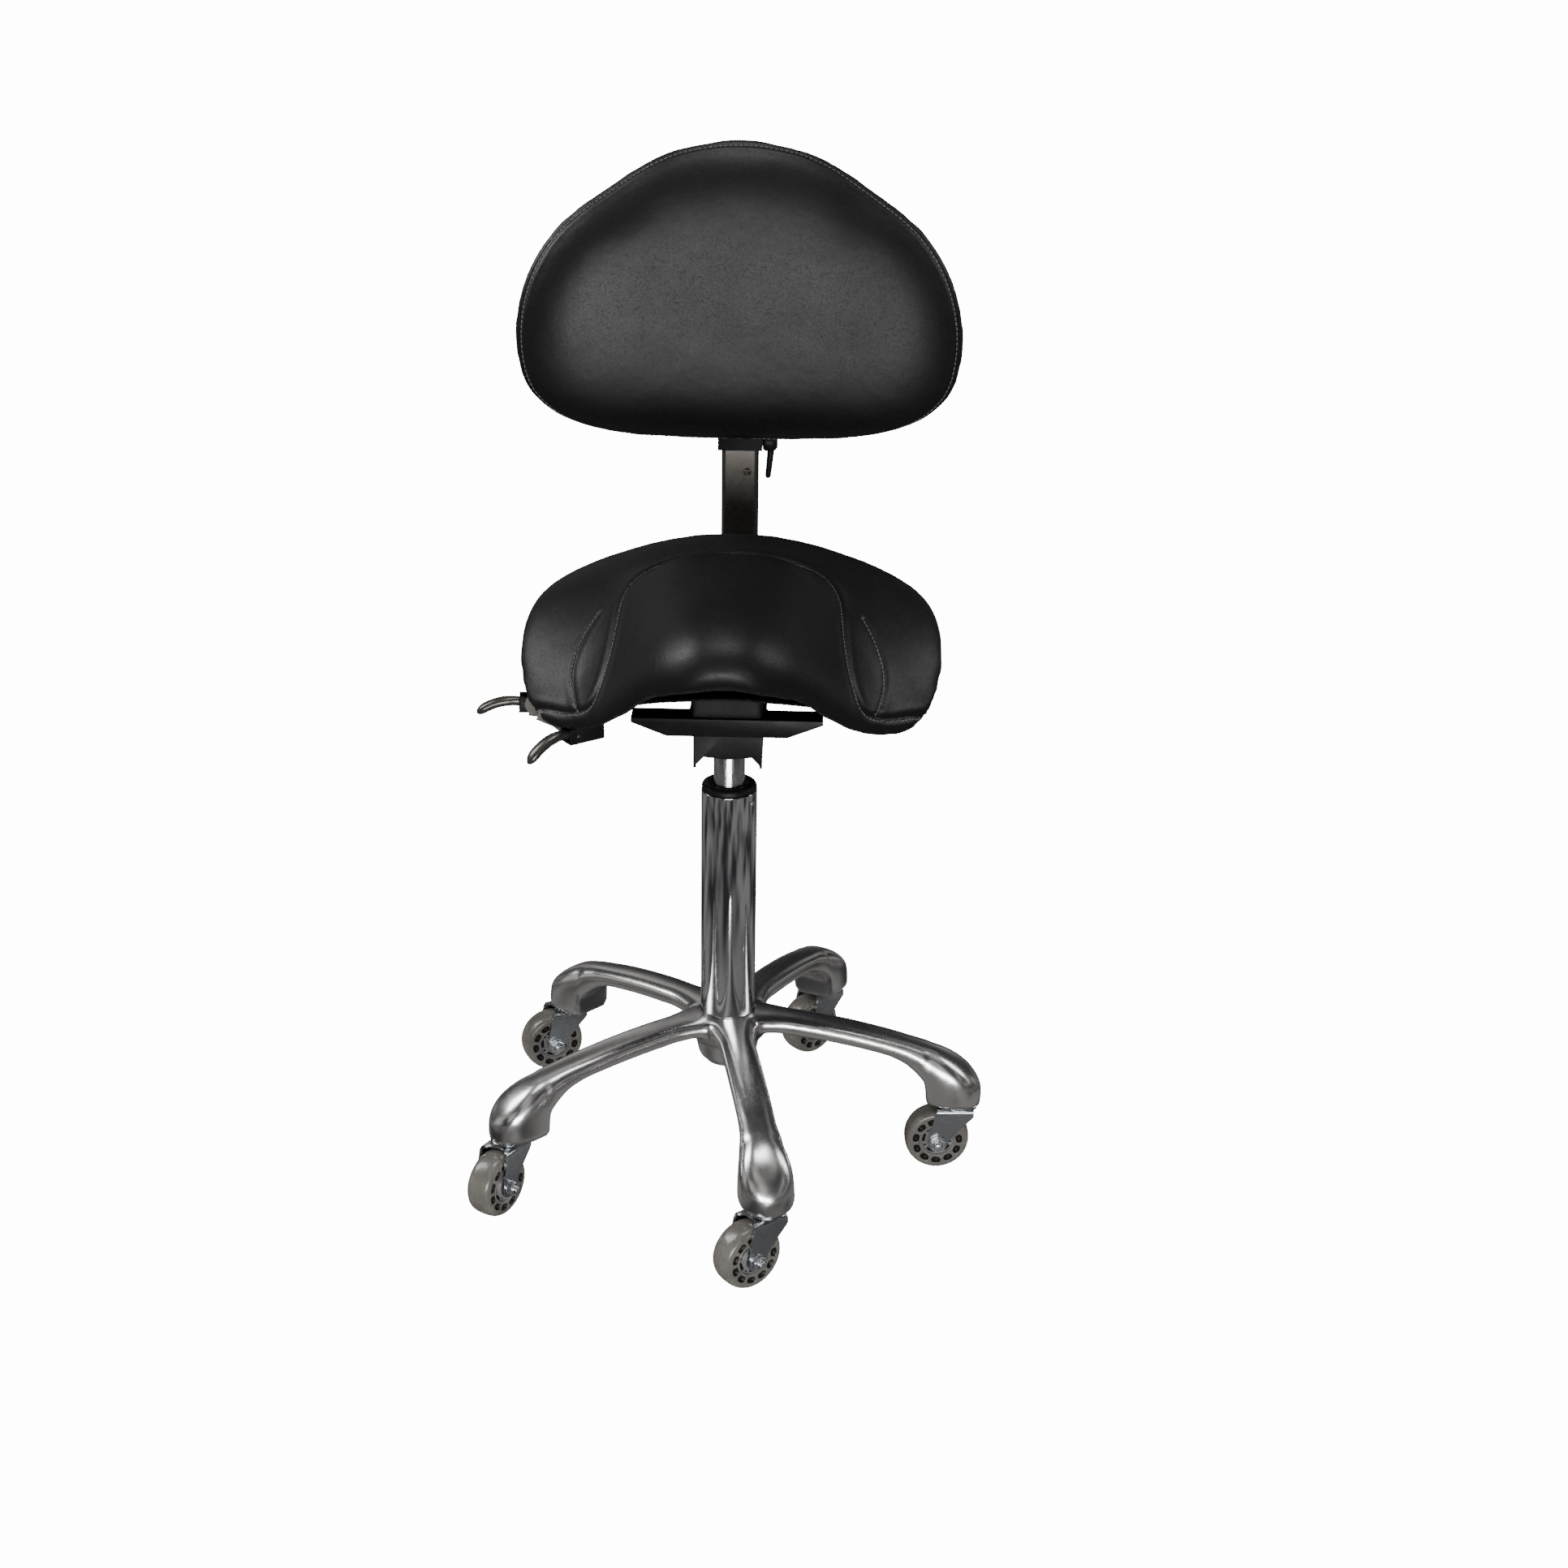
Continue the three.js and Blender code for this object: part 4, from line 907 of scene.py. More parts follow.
def windowed(obj, count, radius, size, depth_at, look, turn=0.0):
    """Cuts a ring of rounded windows into both faces of a wheel part; the cut faces take the given look, here
    the painted shade of the recesses.
    """
    cutters = []
    for k in range(count):
        a = turn + 2 * math.pi * k / count
        for side in (-1, 1):
            oval = []
            for i in range(20):
                b = 2 * math.pi * i / 20
                du, dr = size[0] * spow(math.cos(b), 0.8), size[1] * spow(math.sin(b), 0.8)
                r, turned_by = radius + dr, a + du / radius
                oval.append((r * math.sin(turned_by), r * math.cos(turned_by)))
            y0, y1 = side * depth_at[0], side * depth_at[1]
            cutters.append(skin("cut", [[(x, y, z) for x, z in oval] for y in (y0, y1)]))
    cutter = joined("cutter", *cutters)
    cutter.data.materials.append(look)
    return cut_by(obj, cutter)


def tyre_mesh():
    """Soft tyre about Y, with a crowned tread and a ring of windows in each side, their insides painted
    near-black as painted shade.
    """
    w, r, inner = 12 * MM, 30 * MM, 16.8 * MM
    side = [(inner, w - 0.6 * MM), (inner + 0.8 * MM, w - 0.1 * MM), (r * 0.62, w - 0.1 * MM), (r * 0.78, w)]
    tread = []
    for k in range(17):
        a = math.pi * (k / 16 - 0.5)
        tread.append((r * 0.82 + r * 0.18 * spow(math.cos(a), 0.75), w * spow(math.sin(a), 0.75)))
    profile = [(a, -b) for a, b in side] + tread + side[::-1]
    tyre = turned("tyre", profile, 96, loop=True, along="Y")
    tyre.data.materials.append(tyre_rubber())
    count = settings("base").tyre_windows
    # The windows' cut faces take the near-black material: painted shade in the recesses.
    return windowed(tyre, count, 20.2 * MM, (4.3 * MM, 3.0 * MM), (9.4 * MM, 14 * MM), window_dark())


def core_mesh():
    """Hard centre about Y: bearing hub, recessed web with crescents and small holes, their insides painted
    near-black as painted shade.
    """
    r, web, hub = 16.5 * MM, 9.0 * MM, 11.7 * MM
    bore = 4.3 * MM
    half = [(bore, hub - 0.2 * MM), (bore + 0.3 * MM, hub), (8.8 * MM, hub), (9.2 * MM, hub - 0.4 * MM),
            (10.2 * MM, web + 0.2 * MM), (10.6 * MM, web), (14.6 * MM, web), (15.0 * MM, web + 0.4 * MM),
            (15.2 * MM, web + 2.4 * MM), (15.6 * MM, web + 2.7 * MM), (r, web + 2.7 * MM)]
    profile = half + [(a, -b) for a, b in reversed(half)]
    core = turned("core", profile, 96, loop=True, along="Y")
    core.data.materials.append(wheel_plastic())
    for size, turn in (((4.4 * MM, 1.35 * MM), 0.0), ((1.0 * MM, 1.0 * MM), math.pi / 5)):
        # The recesses' cut faces take the near-black material: painted shade.
        core = windowed(core, 5, 12.6 * MM, size, (5.5 * MM, 12 * MM), window_dark(), turn)
    return core


def bolt_mesh():
    """Axle bolt about Y: domed head, plain shank and a threaded tail."""
    r, head, tail = 3.9 * MM, 16.0 * MM, 25.0 * MM
    at, pitch = head + 6 * MM, 0.6 * MM
    profile = [(0.2 * MM, -head - 3.0 * MM), (2.6 * MM, -head - 2.9 * MM), (5.4 * MM, -head - 2.0 * MM),
               (6.4 * MM, -head - 0.9 * MM), (6.4 * MM, -head), (r, -head), (r, at)]
    while at < tail - 1.0 * MM:
        profile += [(r - 0.45 * MM, at + pitch / 2), (r, at + pitch)]
        at += pitch
    profile += [(r - 0.8 * MM, tail), (0.2 * MM, tail)]
    return turned("bolt", profile, 40, along="Y")


def nut_mesh():
    """Hexagon nut about Y with chamfered corners and a thin washer."""
    across, y0, y1, bore = 13 * MM, 16.0 * MM, 21.9 * MM, 4.25 * MM
    angles = [2 * math.pi * i / 48 for i in range(48)]

    def hexagon(a):
        flat = across / 2 / math.cos((a + math.pi / 6) % (math.pi / 3) - math.pi / 6)
        return min(flat, across * 0.565)

    rings = []
    for y, reach, grow in ((y0 + 0.9 * MM, hexagon, 1.0), (y1 - 0.7 * MM, hexagon, 1.0), (y1, hexagon, 0.9),
                           (y1 - 0.3 * MM, lambda a: bore, 1.0), (y0 + 0.9 * MM, lambda a: bore, 1.0)):
        rings.append([(reach(a) * grow * math.cos(a), y, reach(a) * grow * math.sin(a)) for a in angles])
    nut = skin("nut", rings, loop=True)
    washer = turned("washer", [(bore, y0), (7.4 * MM, y0), (7.4 * MM, y0 + 0.8 * MM), (bore, y0 + 0.8 * MM)],
                    48, loop=True, along="Y")
    return baked(rounded(joined("nut", nut, washer), 0.25 * MM, 2, 35))


def race_mesh():
    """Stem and stepped swivel race about Z."""
    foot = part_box("star_base")[0].z
    z0 = 65.15 * MM
    profile = [(0.3 * MM, z0), (12.5 * MM, z0), (15.5 * MM, z0 + 0.3 * MM), (17.6 * MM, z0 + 0.9 * MM),
               (17.6 * MM, z0 + 1.5 * MM), (15.8 * MM, z0 + 1.7 * MM), (15.4 * MM, z0 + 1.9 * MM),
               (16.6 * MM, z0 + 2.2 * MM), (16.6 * MM, foot - 0.3 * MM), (5.4 * MM, foot - 0.3 * MM),
               (5.4 * MM, foot + 22 * MM), (4 * MM, foot + 24 * MM), (0.3 * MM, foot + 24 * MM)]
    return turned("race", profile, 64)


def make_casters():
    """Five casters from one set of meshes."""
    kinds = {
        "pressed_fork": (fork_mesh(), Vector(), "caster_fork", "caster", zinc(), "zinc_plate"),
        "axle_bolt_turned": (bolt_mesh(), AXLE, "axle_bolt", "caster", bright_zinc(), "zinc_plate"),
        "hex_nut": (nut_mesh(), AXLE, "axle_nut", "caster", bright_zinc(), "zinc_plate"),
        "tread": (tyre_mesh(), AXLE, "tyre", "wheel", tyre_rubber(), "soft_tyre"),
        "wheel_web": (core_mesh(), AXLE, "wheel_core", "wheel", wheel_plastic(), "wheel_centre"),
        "swivel_race": (race_mesh(), Vector(), "caster_stem", "base", zinc(), "zinc_plate"),
    }
    for i in CASTERS:
        stem = joint_place(f"caster_swivel_{i}")
        out = joint_place(f"wheel_roll_{i}") - stem
        turn = Matrix.Translation((stem.x, stem.y, 0)) @ Matrix.Rotation(math.atan2(out.y, out.x), 4, "Z")
        for name, (source, offset, node, body, look, slot) in kinds.items():
            mesh = source.data.copy()
            spin = Matrix.Rotation(0.7 * i, 4, "Y") if body == "wheel" else Matrix.Identity(4)
            mesh.transform(turn @ Matrix.Translation(offset) @ spin)
            rides = body if body == "base" else f"{body}_{i}"
            finished(linked(f"{name}_{i}", mesh), look, rides, slot, f"{node}_{i}")
    for source, *_ in kinds.values():
        bpy.data.objects.remove(source)


# ---------------------------------------------------------------- column
def make_column():
    """Tube, bush, cylinder and the steel inside them."""
    tube_low, tube_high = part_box("column_tube")
    hub_high, top = hub_top(), tube_high.z
    r, wall, spigot = 25 * MM, 3 * MM, 21.5 * MM
    edge = settings("base").edge_radius
    tube = turned("column_sleeve", [
        (spigot - MM, tube_low.z), (spigot, tube_low.z + 5 * MM), (spigot, hub_high + 0.3 * MM),
        (r - edge, hub_high + 0.3 * MM), (r, hub_high + 0.9 * MM), (r, top - 0.8 * MM), (r - 0.8 * MM, top),
        (r - wall, top), (r - wall, hub_high + 20 * MM), (spigot - wall, hub_high + 10 * MM),
        (spigot - wall, tube_low.z + 5 * MM), (5.3 * MM, tube_low.z + 5 * MM), (5.3 * MM, tube_low.z),
    ], 128, loop=True)
    finished(rounded(tube, edge, 2, 40), chrome(), "base", "chrome", "column_tube")

    bush_low, bush_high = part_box("guide_bush")
    sleeve, flange, bore = r - wall - 0.3 * MM, r - 0.4 * MM, 14.3 * MM
    bush = turned("guide_bush_ring", [
        (bore, bush_low.z), (sleeve, bush_low.z), (sleeve, top + 0.3 * MM), (flange, top + 0.3 * MM),
        (flange, top + 3.2 * MM), (flange - 0.8 * MM, top + 4.8 * MM), (flange - 2.4 * MM, bush_high.z),
        (bore + 2.5 * MM, bush_high.z), (bore + 1.2 * MM, bush_high.z - 1.2 * MM),
        (bore, bush_high.z - 1.6 * MM),
    ], 96, loop=True)
    finished(rounded(bush, edge, 2, 40), moulding(), "base", "black_plastic", "guide_bush")

    low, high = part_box("gas_cylinder")
    c = 14 * MM
    cone = high.z - 38 * MM
    cylinder = turned("lift_cylinder", [
        (5.3 * MM, low.z), (c - MM, low.z), (c, low.z + MM), (c, cone - 2 * MM),
        (c - 0.25 * MM, cone - 1.4 * MM), (c - 0.25 * MM, cone - 0.6 * MM), (c, cone), (c - 0.8 * MM, high.z),
        (4.3 * MM, high.z),
        (4.3 * MM, high.z - 7.6 * MM), (0.2 * MM, high.z - 7.6 * MM), (0.2 * MM, high.z - 120 * MM),
        (5.3 * MM, high.z - 120 * MM),
    ], 96, loop=True)
    finished(cylinder, scuffed_chrome(), "lift", "chrome", "gas_cylinder")

    angle = math.radians(-31)
    spot = Vector((math.cos(angle), math.sin(angle), 0)) * (r - 0.4 * MM)
    spot.z = top - 10 * MM
    rivet = turned("tube_rivet", [
        (0.1 * MM, 1.4 * MM), (1.1 * MM, 1.3 * MM), (2.0 * MM, 0.8 * MM), (2.3 * MM, 0.2 * MM),
        (2.3 * MM, -1.5 * MM), (0.1 * MM, -1.5 * MM),
    ], 24, along="X")
    rivet.data.transform(Matrix.Translation(spot) @ Matrix.Rotation(angle, 4, "Z"))
    finished(rivet, zinc(), "base", "zinc_plate")
    for node in ("piston_rod", "thrust_bearing", "retaining_clip", "release_pin"):
        dressed(node, steel())


# ---------------------------------------------------------------- mechanism
def make_mechanism():
    """Housing, frame, pins and rocker."""
    for name, node, body in (("tilt_box", "tilt_housing", "lift"), ("under_frame", "seat_frame", "seat")):
        finished(crisp_copy(name, node, 0.6 * MM), powder_coat(), body, "black_paint", node)
    low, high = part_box("tilt_pin")
    y, z, r = (low.y + high.y) / 2, (low.z + high.z) / 2, (high.z - low.z) / 2
    pin = turned("tilt_axle", [(0.2 * MM, low.x), (r * 0.7, low.x + 0.3 * MM), (r, low.x + 1.2 * MM),
                               (r, high.x - 1.2 * MM), (r * 0.7, high.x - 0.3 * MM), (0.2 * MM, high.x)],
                 40, along="X")
    pin.data.transform(Matrix.Translation((0, y, z)))
    finished(pin, steel(), "lift", "plain_steel", "tilt_pin")
    low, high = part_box("column_socket")
    edge = 0.6 * MM
    socket = turned("taper_socket", [
        (14.3 * MM, low.z), (high.x - edge, low.z), (high.x, low.z + edge), (high.x, high.z - edge),
        (high.x - edge, high.z), (13.6 * MM, high.z),
    ], 72, loop=True)
    finished(socket, powder_coat(), "lift", "plain_steel", "column_socket")
    rocker = crisp_copy("rocker", "release_arm", 0.4 * MM)
    finished(rocker, steel(), "release_rocker", "plain_steel", "release_arm")
    dressed("release_arm_pin", steel())
    make_frame_screws()


def make_frame_screws():
    """Two recessed screw heads on the frame's front bar."""
    screws = []
    frame_low, frame_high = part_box("seat_frame")
    for x in (-70 * MM, 70 * MM):
        head = turned("head", [(0.2 * MM, 0), (1.6 * MM, 0), (1.6 * MM, -1.2 * MM), (3.6 * MM, -2.0 * MM),
                               (5.2 * MM, -1.2 * MM), (5.4 * MM, -0.2 * MM), (5.4 * MM, 0.6 * MM),
                               (0.2 * MM, 0.6 * MM)], 32)
        head.data.transform(Matrix.Translation((x, frame_low.y + 14 * MM, frame_high.z - 3.2 * MM)))
        screws.append(head)
    finished(joined("frame_screws", *screws), powder_coat(), "seat", "black_paint")


# ---------------------------------------------------------------- saddle
def through(y, values):
    """Value at y of the parabola through the three stations."""
    (r, m, f), (vr, vm, vf) = STATIONS, values
    return (vr * (y - m) * (y - f) / ((r - m) * (r - f)) + vm * (y - r) * (y - f) / ((m - r) * (m - f))
            + vf * (y - r) * (y - m) / ((f - r) * (f - m)))


def saddle(x, y):
    """Height of the saddle's widest line under a point of its plan."""
    power = DROOP_POWER + (DROOP_POWER_FRONT - DROOP_POWER) * float(smoothstep(-y / (150 * MM)))
    return through(y, SPINE) - through(y, DROOP) * (abs(x) / SEAT_HALF_W) ** power


def padding(x, y):
    """Foam above the saddle line before it swells, with the pommel's ridge."""
    ridge = float(smoothstep((100 * MM - y) / (105 * MM))) * math.exp(-(abs(x / POMMEL_W) ** 4.5))
    return PAD_T - SWELL_ROOM + POMMEL_H * ridge


def tunnel(x, y):
    """Rise of the underside behind the front edge."""
    rise, half_w = 15 * MM, 80 * MM
    return rise * float(smoothstep((-20 * MM - y) / (60 * MM))) * math.exp(-(abs(x) / half_w) ** 4)


def seat_outline(angle):
    """Plan outline of the saddle at an angle from +X."""
    rear = math.sin(angle) > 0
    power = 2 / (3 if rear else 3.4)
    s = spow(math.sin(angle), power)
    narrow = 1 if rear else 1 - SEAT_NARROW * float(smoothstep(-s))
    x = SEAT_HALF_W * spow(math.cos(angle), power) * narrow
    return x, (SEAT_REAR_Y - SEAT_MID_Y if rear else SEAT_MID_Y - SEAT_FRONT_Y) * s


def pole_angle(k, steps):
    """Angle of ring k from the first pole, with a small hole left at each pole."""
    return math.pi * (0.004 + 0.992 * k / steps)


def saddle_rings(inset, above, below, sides=120, steps=44, front=1.0):
    """Rings of a closed body on the saddle's plan, from the top pole to the bottom one."""
    rings = []
    for k in range(steps + 1):
        polar = pole_angle(k, steps)
        upper = polar <= math.pi / 2
        power = 2 / 2.5 if upper else 2 / 3.2
        rho, h = math.sin(polar) ** power * inset, abs(math.cos(polar)) ** power
        ring = []
        for i in range(sides):
            ox, oy = seat_outline(2 * math.pi * i / sides)
            x, y = rho * ox, SEAT_MID_Y + rho * oy * (front if oy < 0 else 1)
            ring.append((x, y, above(x, y, h) if upper else below(x, y, h)))
        rings.append(ring)
    return rings


def mirrored(line):
    """The same line on the other side of the centre plane."""
    return [Vector((-p[0], p[1], p[2])) for p in line]


def saddle_cushion():
    """Padded body of the saddle, before its seams are sewn."""
    cushion = skin("saddle_cushion", saddle_rings(
        1.012,
        lambda x, y, h: saddle(x, y) + padding(x, y) * h,
        lambda x, y, h: saddle(x, y) - (PAD_BELOW * 0.8 - tunnel(x, y)) * h,
    ))
    remeshed(cushion, settings("seat").cloth_detail)

    def rise(co):
        return np.array([z - saddle(x, y) for x, y, z in co])

    relaxed(cushion, 3)
    relaxed(cushion, 10, lambda co: np.clip((14 * MM - rise(co)) / (10 * MM), 0, 1))
    def free(co):
        return smoothstep((rise(co) + 2 * MM) / (10 * MM))
    swelled(cushion, free)
    relaxed(cushion, 5)
    relaxed(cushion, 25, free)
    return subdivided(cushion)


def make_saddle():
    """Leather saddle with its seams, stitches and label, and the shell under it."""
    seat = settings("seat")
    cushion = saddle_cushion()
    pommel = smooth_line([Vector(p) * MM for p in POMMEL_SEAM])
    thigh = smooth_line([Vector(p) * MM for p in THIGH_SEAM])
    lines = (mirrored(pommel)[:0:-1] + pommel, thigh, mirrored(thigh))
    pommel, *thighs = [on_cover(cushion, line) for line in lines]
    seamed(cushion, [pommel], seat.seam_depth, seat.seam_width)
    seamed(cushion, thighs, seat.seam_depth * 0.55, seat.seam_width * 0.8)
    finished(cushion, leather(), "seat", "black_leather", "seat_cushion")
    for name, rows, gap in (("pommel_stitches", [pommel], -2.6 * MM), ("thigh_stitches", thighs, 1.9 * MM)):
        rows = [beside(line, gap, cushion) for line in rows]
        stitch_rows(name, rows, cushion, "seat", "black_leather")
    make_seat_pan()
    make_label(cushion)


def make_seat_pan():
    """Shell under the saddle, with the boss that rests on the frame."""
    gap = PAD_BELOW + 0.3 * MM
    pan = skin("seat_pan_shell", saddle_rings(
        SHELL_INSET,
        lambda x, y, h: saddle(x, y) - gap - SHELL_T / 2 * (1 - h),
        lambda x, y, h: saddle(x, y) - gap - SHELL_T / 2 * (1 + h),
        96, 20, 0.72,
    ))
    frame_low, frame_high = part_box("seat_frame")
    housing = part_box("tilt_housing")
    boss = block(
        "boss", (housing[0].x, frame_low.y, frame_high.z + 0.3 * MM), (housing[1].x, 90 * MM, 497 * MM))
    pan = remeshed(joined("seat_pan", pan, boss), 2.2 * MM)
    relaxed(pan, 3)
    finished(pan, shell_moulding(), "seat", "black_shell", "seat_shell")


def beside(line, gap, cover):
    """Line moved sideways along a cover's surface."""
    surface = BVHTree.FromObject(cover, bpy.context.evaluated_depsgraph_get())
    moved = []
    for k, point in enumerate(line):
        ahead, behind = line[min(k + 1, len(line) - 1)], line[max(k - 1, 0)]
        _, normal, _, _ = surface.find_nearest(point)
        side = (ahead - behind).cross(normal)
        if side.length > 1e-9:
            moved.append(point + side.normalized() * gap)
    return moved


def make_label(cushion):
    """Blank woven label sewn under the edge of the saddle's -X side, hanging a little wavy."""
    surface = BVHTree.FromObject(cushion, bpy.context.evaluated_depsgraph_get())
    start, end = (Vector(p) * MM for p in LABEL_EDGE)
    along, across = 14, 5
    points = []
    for k in range(along + 1):
        t = k / along
        spot, normal, _, _ = surface.find_nearest(start.lerp(end, t))
        hang = (normal + Vector((0, 0, -1.4))).normalized()
        for s in range(across + 1):
            wave = normal * 1.2 * MM * math.sin(s * 0.7 + t * 3)
            points.append(spot + hang * (0.4 + 10.5 * s / across) * MM + wave)
    label = mesh_object("sewn_label", points, sheet_faces(along + 1, across + 1))
    cloth = label.modifiers.new("Cloth", "SOLIDIFY")
    cloth.thickness = 0.7 * MM
    cloth.offset = 0
    baked(label)
    label.data.shade_smooth()
    finished(label, label_cloth(), "seat", "black_leather")


# ---------------------------------------------------------------- levers
def paddle_rings(length, droop, half_w, half_t):
    """Rings of a curved paddle along +X from its pivot."""
    rings, spans, sides = [], 39, 24
    for k in range(spans + 1):
        t = k / spans
        tip = math.sqrt(max(1 - (max(t - 0.84, 0) / 0.16) ** 2, 0.02))
        neck = 1 - 0.28 * math.exp(-((t - 0.2) / 0.16) ** 2)
        wide = half_w * neck * tip
        thick = half_t * (1.02 - 0.08 * t) * tip
        x = 0.6 * MM + t * (length - 0.6 * MM)
        z = 4 * MM * math.sin(t * 2.2) - droop * t ** 2.2
        ring = []
        for i in range(sides):
            a = 2 * math.pi * i / sides
            rise = thick * spow(math.sin(a), 0.85)
            ring.append((x + rise * 0.45 * t, wide * spow(math.cos(a), 0.85), z + rise))
        rings.append(ring)
    return rings


def make_levers():
    """Two paddles with their blocks and pins."""
    edge, side = 0.4 * MM, 5.5 * MM
    for name, body, droop in (("height_lever", "height_paddle", 13 * MM),
                              ("tilt_lever", "tilt_paddle", 21 * MM)):
        joint = JOINTS[name + "_lift"]
        pivot, axis = Vector(joint["pos_m"]), Vector(joint["axis"])
        turn = math.atan2(axis.x, -axis.y)
        place = Matrix.Translation(pivot) @ Matrix.Rotation(turn, 4, "Z")
        paddle = skin(name + "_paddle", paddle_rings(46 * MM, droop, 6 * MM, 4.2 * MM))
        eye = turned("eye", [
            (1.8 * MM, -side), (4 * MM - edge, -side), (4 * MM, edge - side), (4 * MM, side - edge),
            (4 * MM - edge, side), (1.8 * MM, side),
        ], 32, loop=True, along="Y")
        arm = joined(name + "_handle", paddle, eye)
        arm.data.transform(place)
        finished(arm, bronze(), body, "dark_bronze", name)
        mount = crisp_copy(name + "_block", name + "_mount", 0.9 * MM, 3)
        finished(mount, moulding(), "seat", "black_plastic", name + "_mount")
        dressed(name + "_pin", steel())


# ---------------------------------------------------------------- backrest
def bar_section(w, d, r, steps=6):
    """Rounded rectangle as (x, depth) pairs."""
    x, y = w / 2 - r, d / 2 - r
    pairs = []
    for cx, cy, start in ((x, -y, -90), (x, y, 0), (-x, y, 90), (-x, -y, 180)):
        for i in range(steps + 1):
            a = math.radians(start + 90 * i / steps)
            pairs.append((cx + r * math.cos(a), cy + r * math.sin(a)))
    return pairs


def make_bar():
    """Bent rectangular tube with its stop screw."""
    low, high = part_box("back_bar")
    depth, wall, corner, bend = 20 * MM, 2 * MM, 4.5 * MM, 45 * MM
    y, z, width = high.y - depth / 2, low.z + depth / 2, high.x - low.x
    stations, turns = [(low.y, z, 0.0)], 24
    for i in range(turns + 1):
        a = math.pi / 2 * i / turns
        stations.append((y - bend + bend * math.sin(a), z + bend - bend * math.cos(a), a))
    stations.append((y, high.z, math.pi / 2))

    def ring(station, section):
        sy, sz, a = station
        return [(px, sy - py * math.sin(a), sz + py * math.cos(a)) for px, py in section]
    outer = bar_section(width, depth, corner)
    inner = bar_section(width - 2 * wall, depth - 2 * wall, corner - wall)
    rings = [ring(s, outer) for s in stations] + [ring(s, inner) for s in reversed(stations)]
    bar = skin("bent_bar", rings, loop=True)
    finished(rounded(bar, 0.3 * MM, 2, 50), bronze(), "seat", "dark_bronze", "back_bar")

    low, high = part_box("bar_stop_screw")
    x, z, r = (low.x + high.x) / 2, (low.z + high.z) / 2, (high.x - low.x) / 2
    head = turned("stop_screw", [
        (0.1 * MM, -1.2 * MM), (1.2 * MM, -1.2 * MM), (1.5 * MM, -2.6 * MM), (2.4 * MM, -2.4 * MM),
        (3.2 * MM, -1.5 * MM), (r, -0.5 * MM), (r, 0), (0.1 * MM, 0),
    ], 32, along="Y")
    head.data.transform(Matrix.Translation((x, high.y, z)))
    finished(head, bronze(), "seat", "dark_bronze", "bar_stop_screw")


def back_half_width(z, half, up, down):
    """Half width of the backrest at a height above its widest line: sloped shoulders, round foot."""
    if z >= 0:
        t = min(z / up, 1)
        bell = (1 - t ** 1.9) ** (1 / 1.9)
        return half * max(bell * (1 - 0.075 * math.exp(-((t - 0.8) / 0.16) ** 2)), 0)
    t = min(-z / down, 1)
    return half * (1 - t ** 3.1) ** (1 / 2.9)


def back_rings(front, rear, rim_y, size, wrap, steps=36):
    """Rings of a closed body on the backrest's outline, from the front pole to the rear one."""
    half, centre_z, up, down = size
    rings, sides = [], 120
    for k in range(steps + 1):
        polar = pole_angle(k, steps)
        rho, h = (abs(v) ** (2 / 2.8) for v in (math.sin(polar), math.cos(polar)))
        ring = []
        for i in range(sides):
            a = 2 * math.pi * i / sides
            reach = up if math.sin(a) > 0 else down
            oz = reach * spow(math.sin(a), 2 / 2.4)
            ox = back_half_width(oz, half, up, down)
            x = rho * math.copysign(ox, math.cos(a))
            y = rim_y - wrap * (x / half) ** 2 + (-front * h if polar < math.pi / 2 else rear * h)
            ring.append((x, y, centre_z + rho * oz))
        rings.append(ring)
    return rings


def make_backrest():
    """Leather backrest with its edge seam, the shell behind it, the carriage and the clamp."""
    seat = settings("seat")
    low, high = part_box("back_cushion")
    half, wrap, front, rear = (high.x - low.x) / 2, 28 * MM, 42 * MM, 5 * MM
    down, shrink = 109 * MM, 0.93
    centre_z = low.z + down
    rim_y = high.y - rear
    size = (half, centre_z, high.z - centre_z, down)
    cushion = skin("backrest_cushion", back_rings(front - 3 * MM, rear * 0.9, rim_y, size, wrap))
    remeshed(cushion, seat.cloth_detail)
    relaxed(cushion, 9)
    def free(co):
        rim = rim_y - wrap * (co[:, 0] / half) ** 2
        return smoothstep((rim + 2 * MM - co[:, 1]) / (8 * MM))
    swelled(cushion, free)
    relaxed(cushion, 2)
    relaxed(cushion, 60, free)
    subdivided(cushion)
    edge = back_edge(cushion, 0.972, size, rim_y, wrap)
    seamed(cushion, [edge], seat.seam_depth * 0.8, seat.seam_width * 0.8)
    finished(cushion, leather(), "back", "black_leather", "back_cushion")
    edge = back_edge(cushion, 0.955, size, rim_y, wrap)
    stitch_rows("edge_stitches", [edge], cushion, "back", "black_leather")

    t = 9 * MM
    shell_size = (half * shrink, centre_z, (high.z - centre_z) * shrink, down * shrink)
    shell_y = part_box("back_shell")[1].y - t / 2
    shell = skin("backrest_shell", back_rings(t / 2, t / 2, shell_y, shell_size, wrap * shrink ** 2, 20))
    finished(shell, shell_moulding(), "back", "black_shell", "back_shell")

    finished(crisp_copy("carriage_plate", "back_carriage", 0.8 * MM), powder_coat(), "back", "black_paint",
             "back_carriage")
    make_clamp()


def back_edge(cover, inset, size, rim_y, wrap):
    """Line on the front of the backrest a little inside its outline."""
    half, centre_z, up, down = size
    line, steps = [], 360
    for i in range(steps + 1):
        a = 2 * math.pi * i / steps
        oz = (up if math.sin(a) > 0 else down) * spow(math.sin(a), 2 / 2.4)
        ox = math.copysign(back_half_width(oz, half, up, down), math.cos(a))
        x = inset * ox
        line.append(Vector((x, rim_y - wrap * (x / half) ** 2 - 12 * MM, centre_z + inset * oz)))
    return on_cover(cover, line)


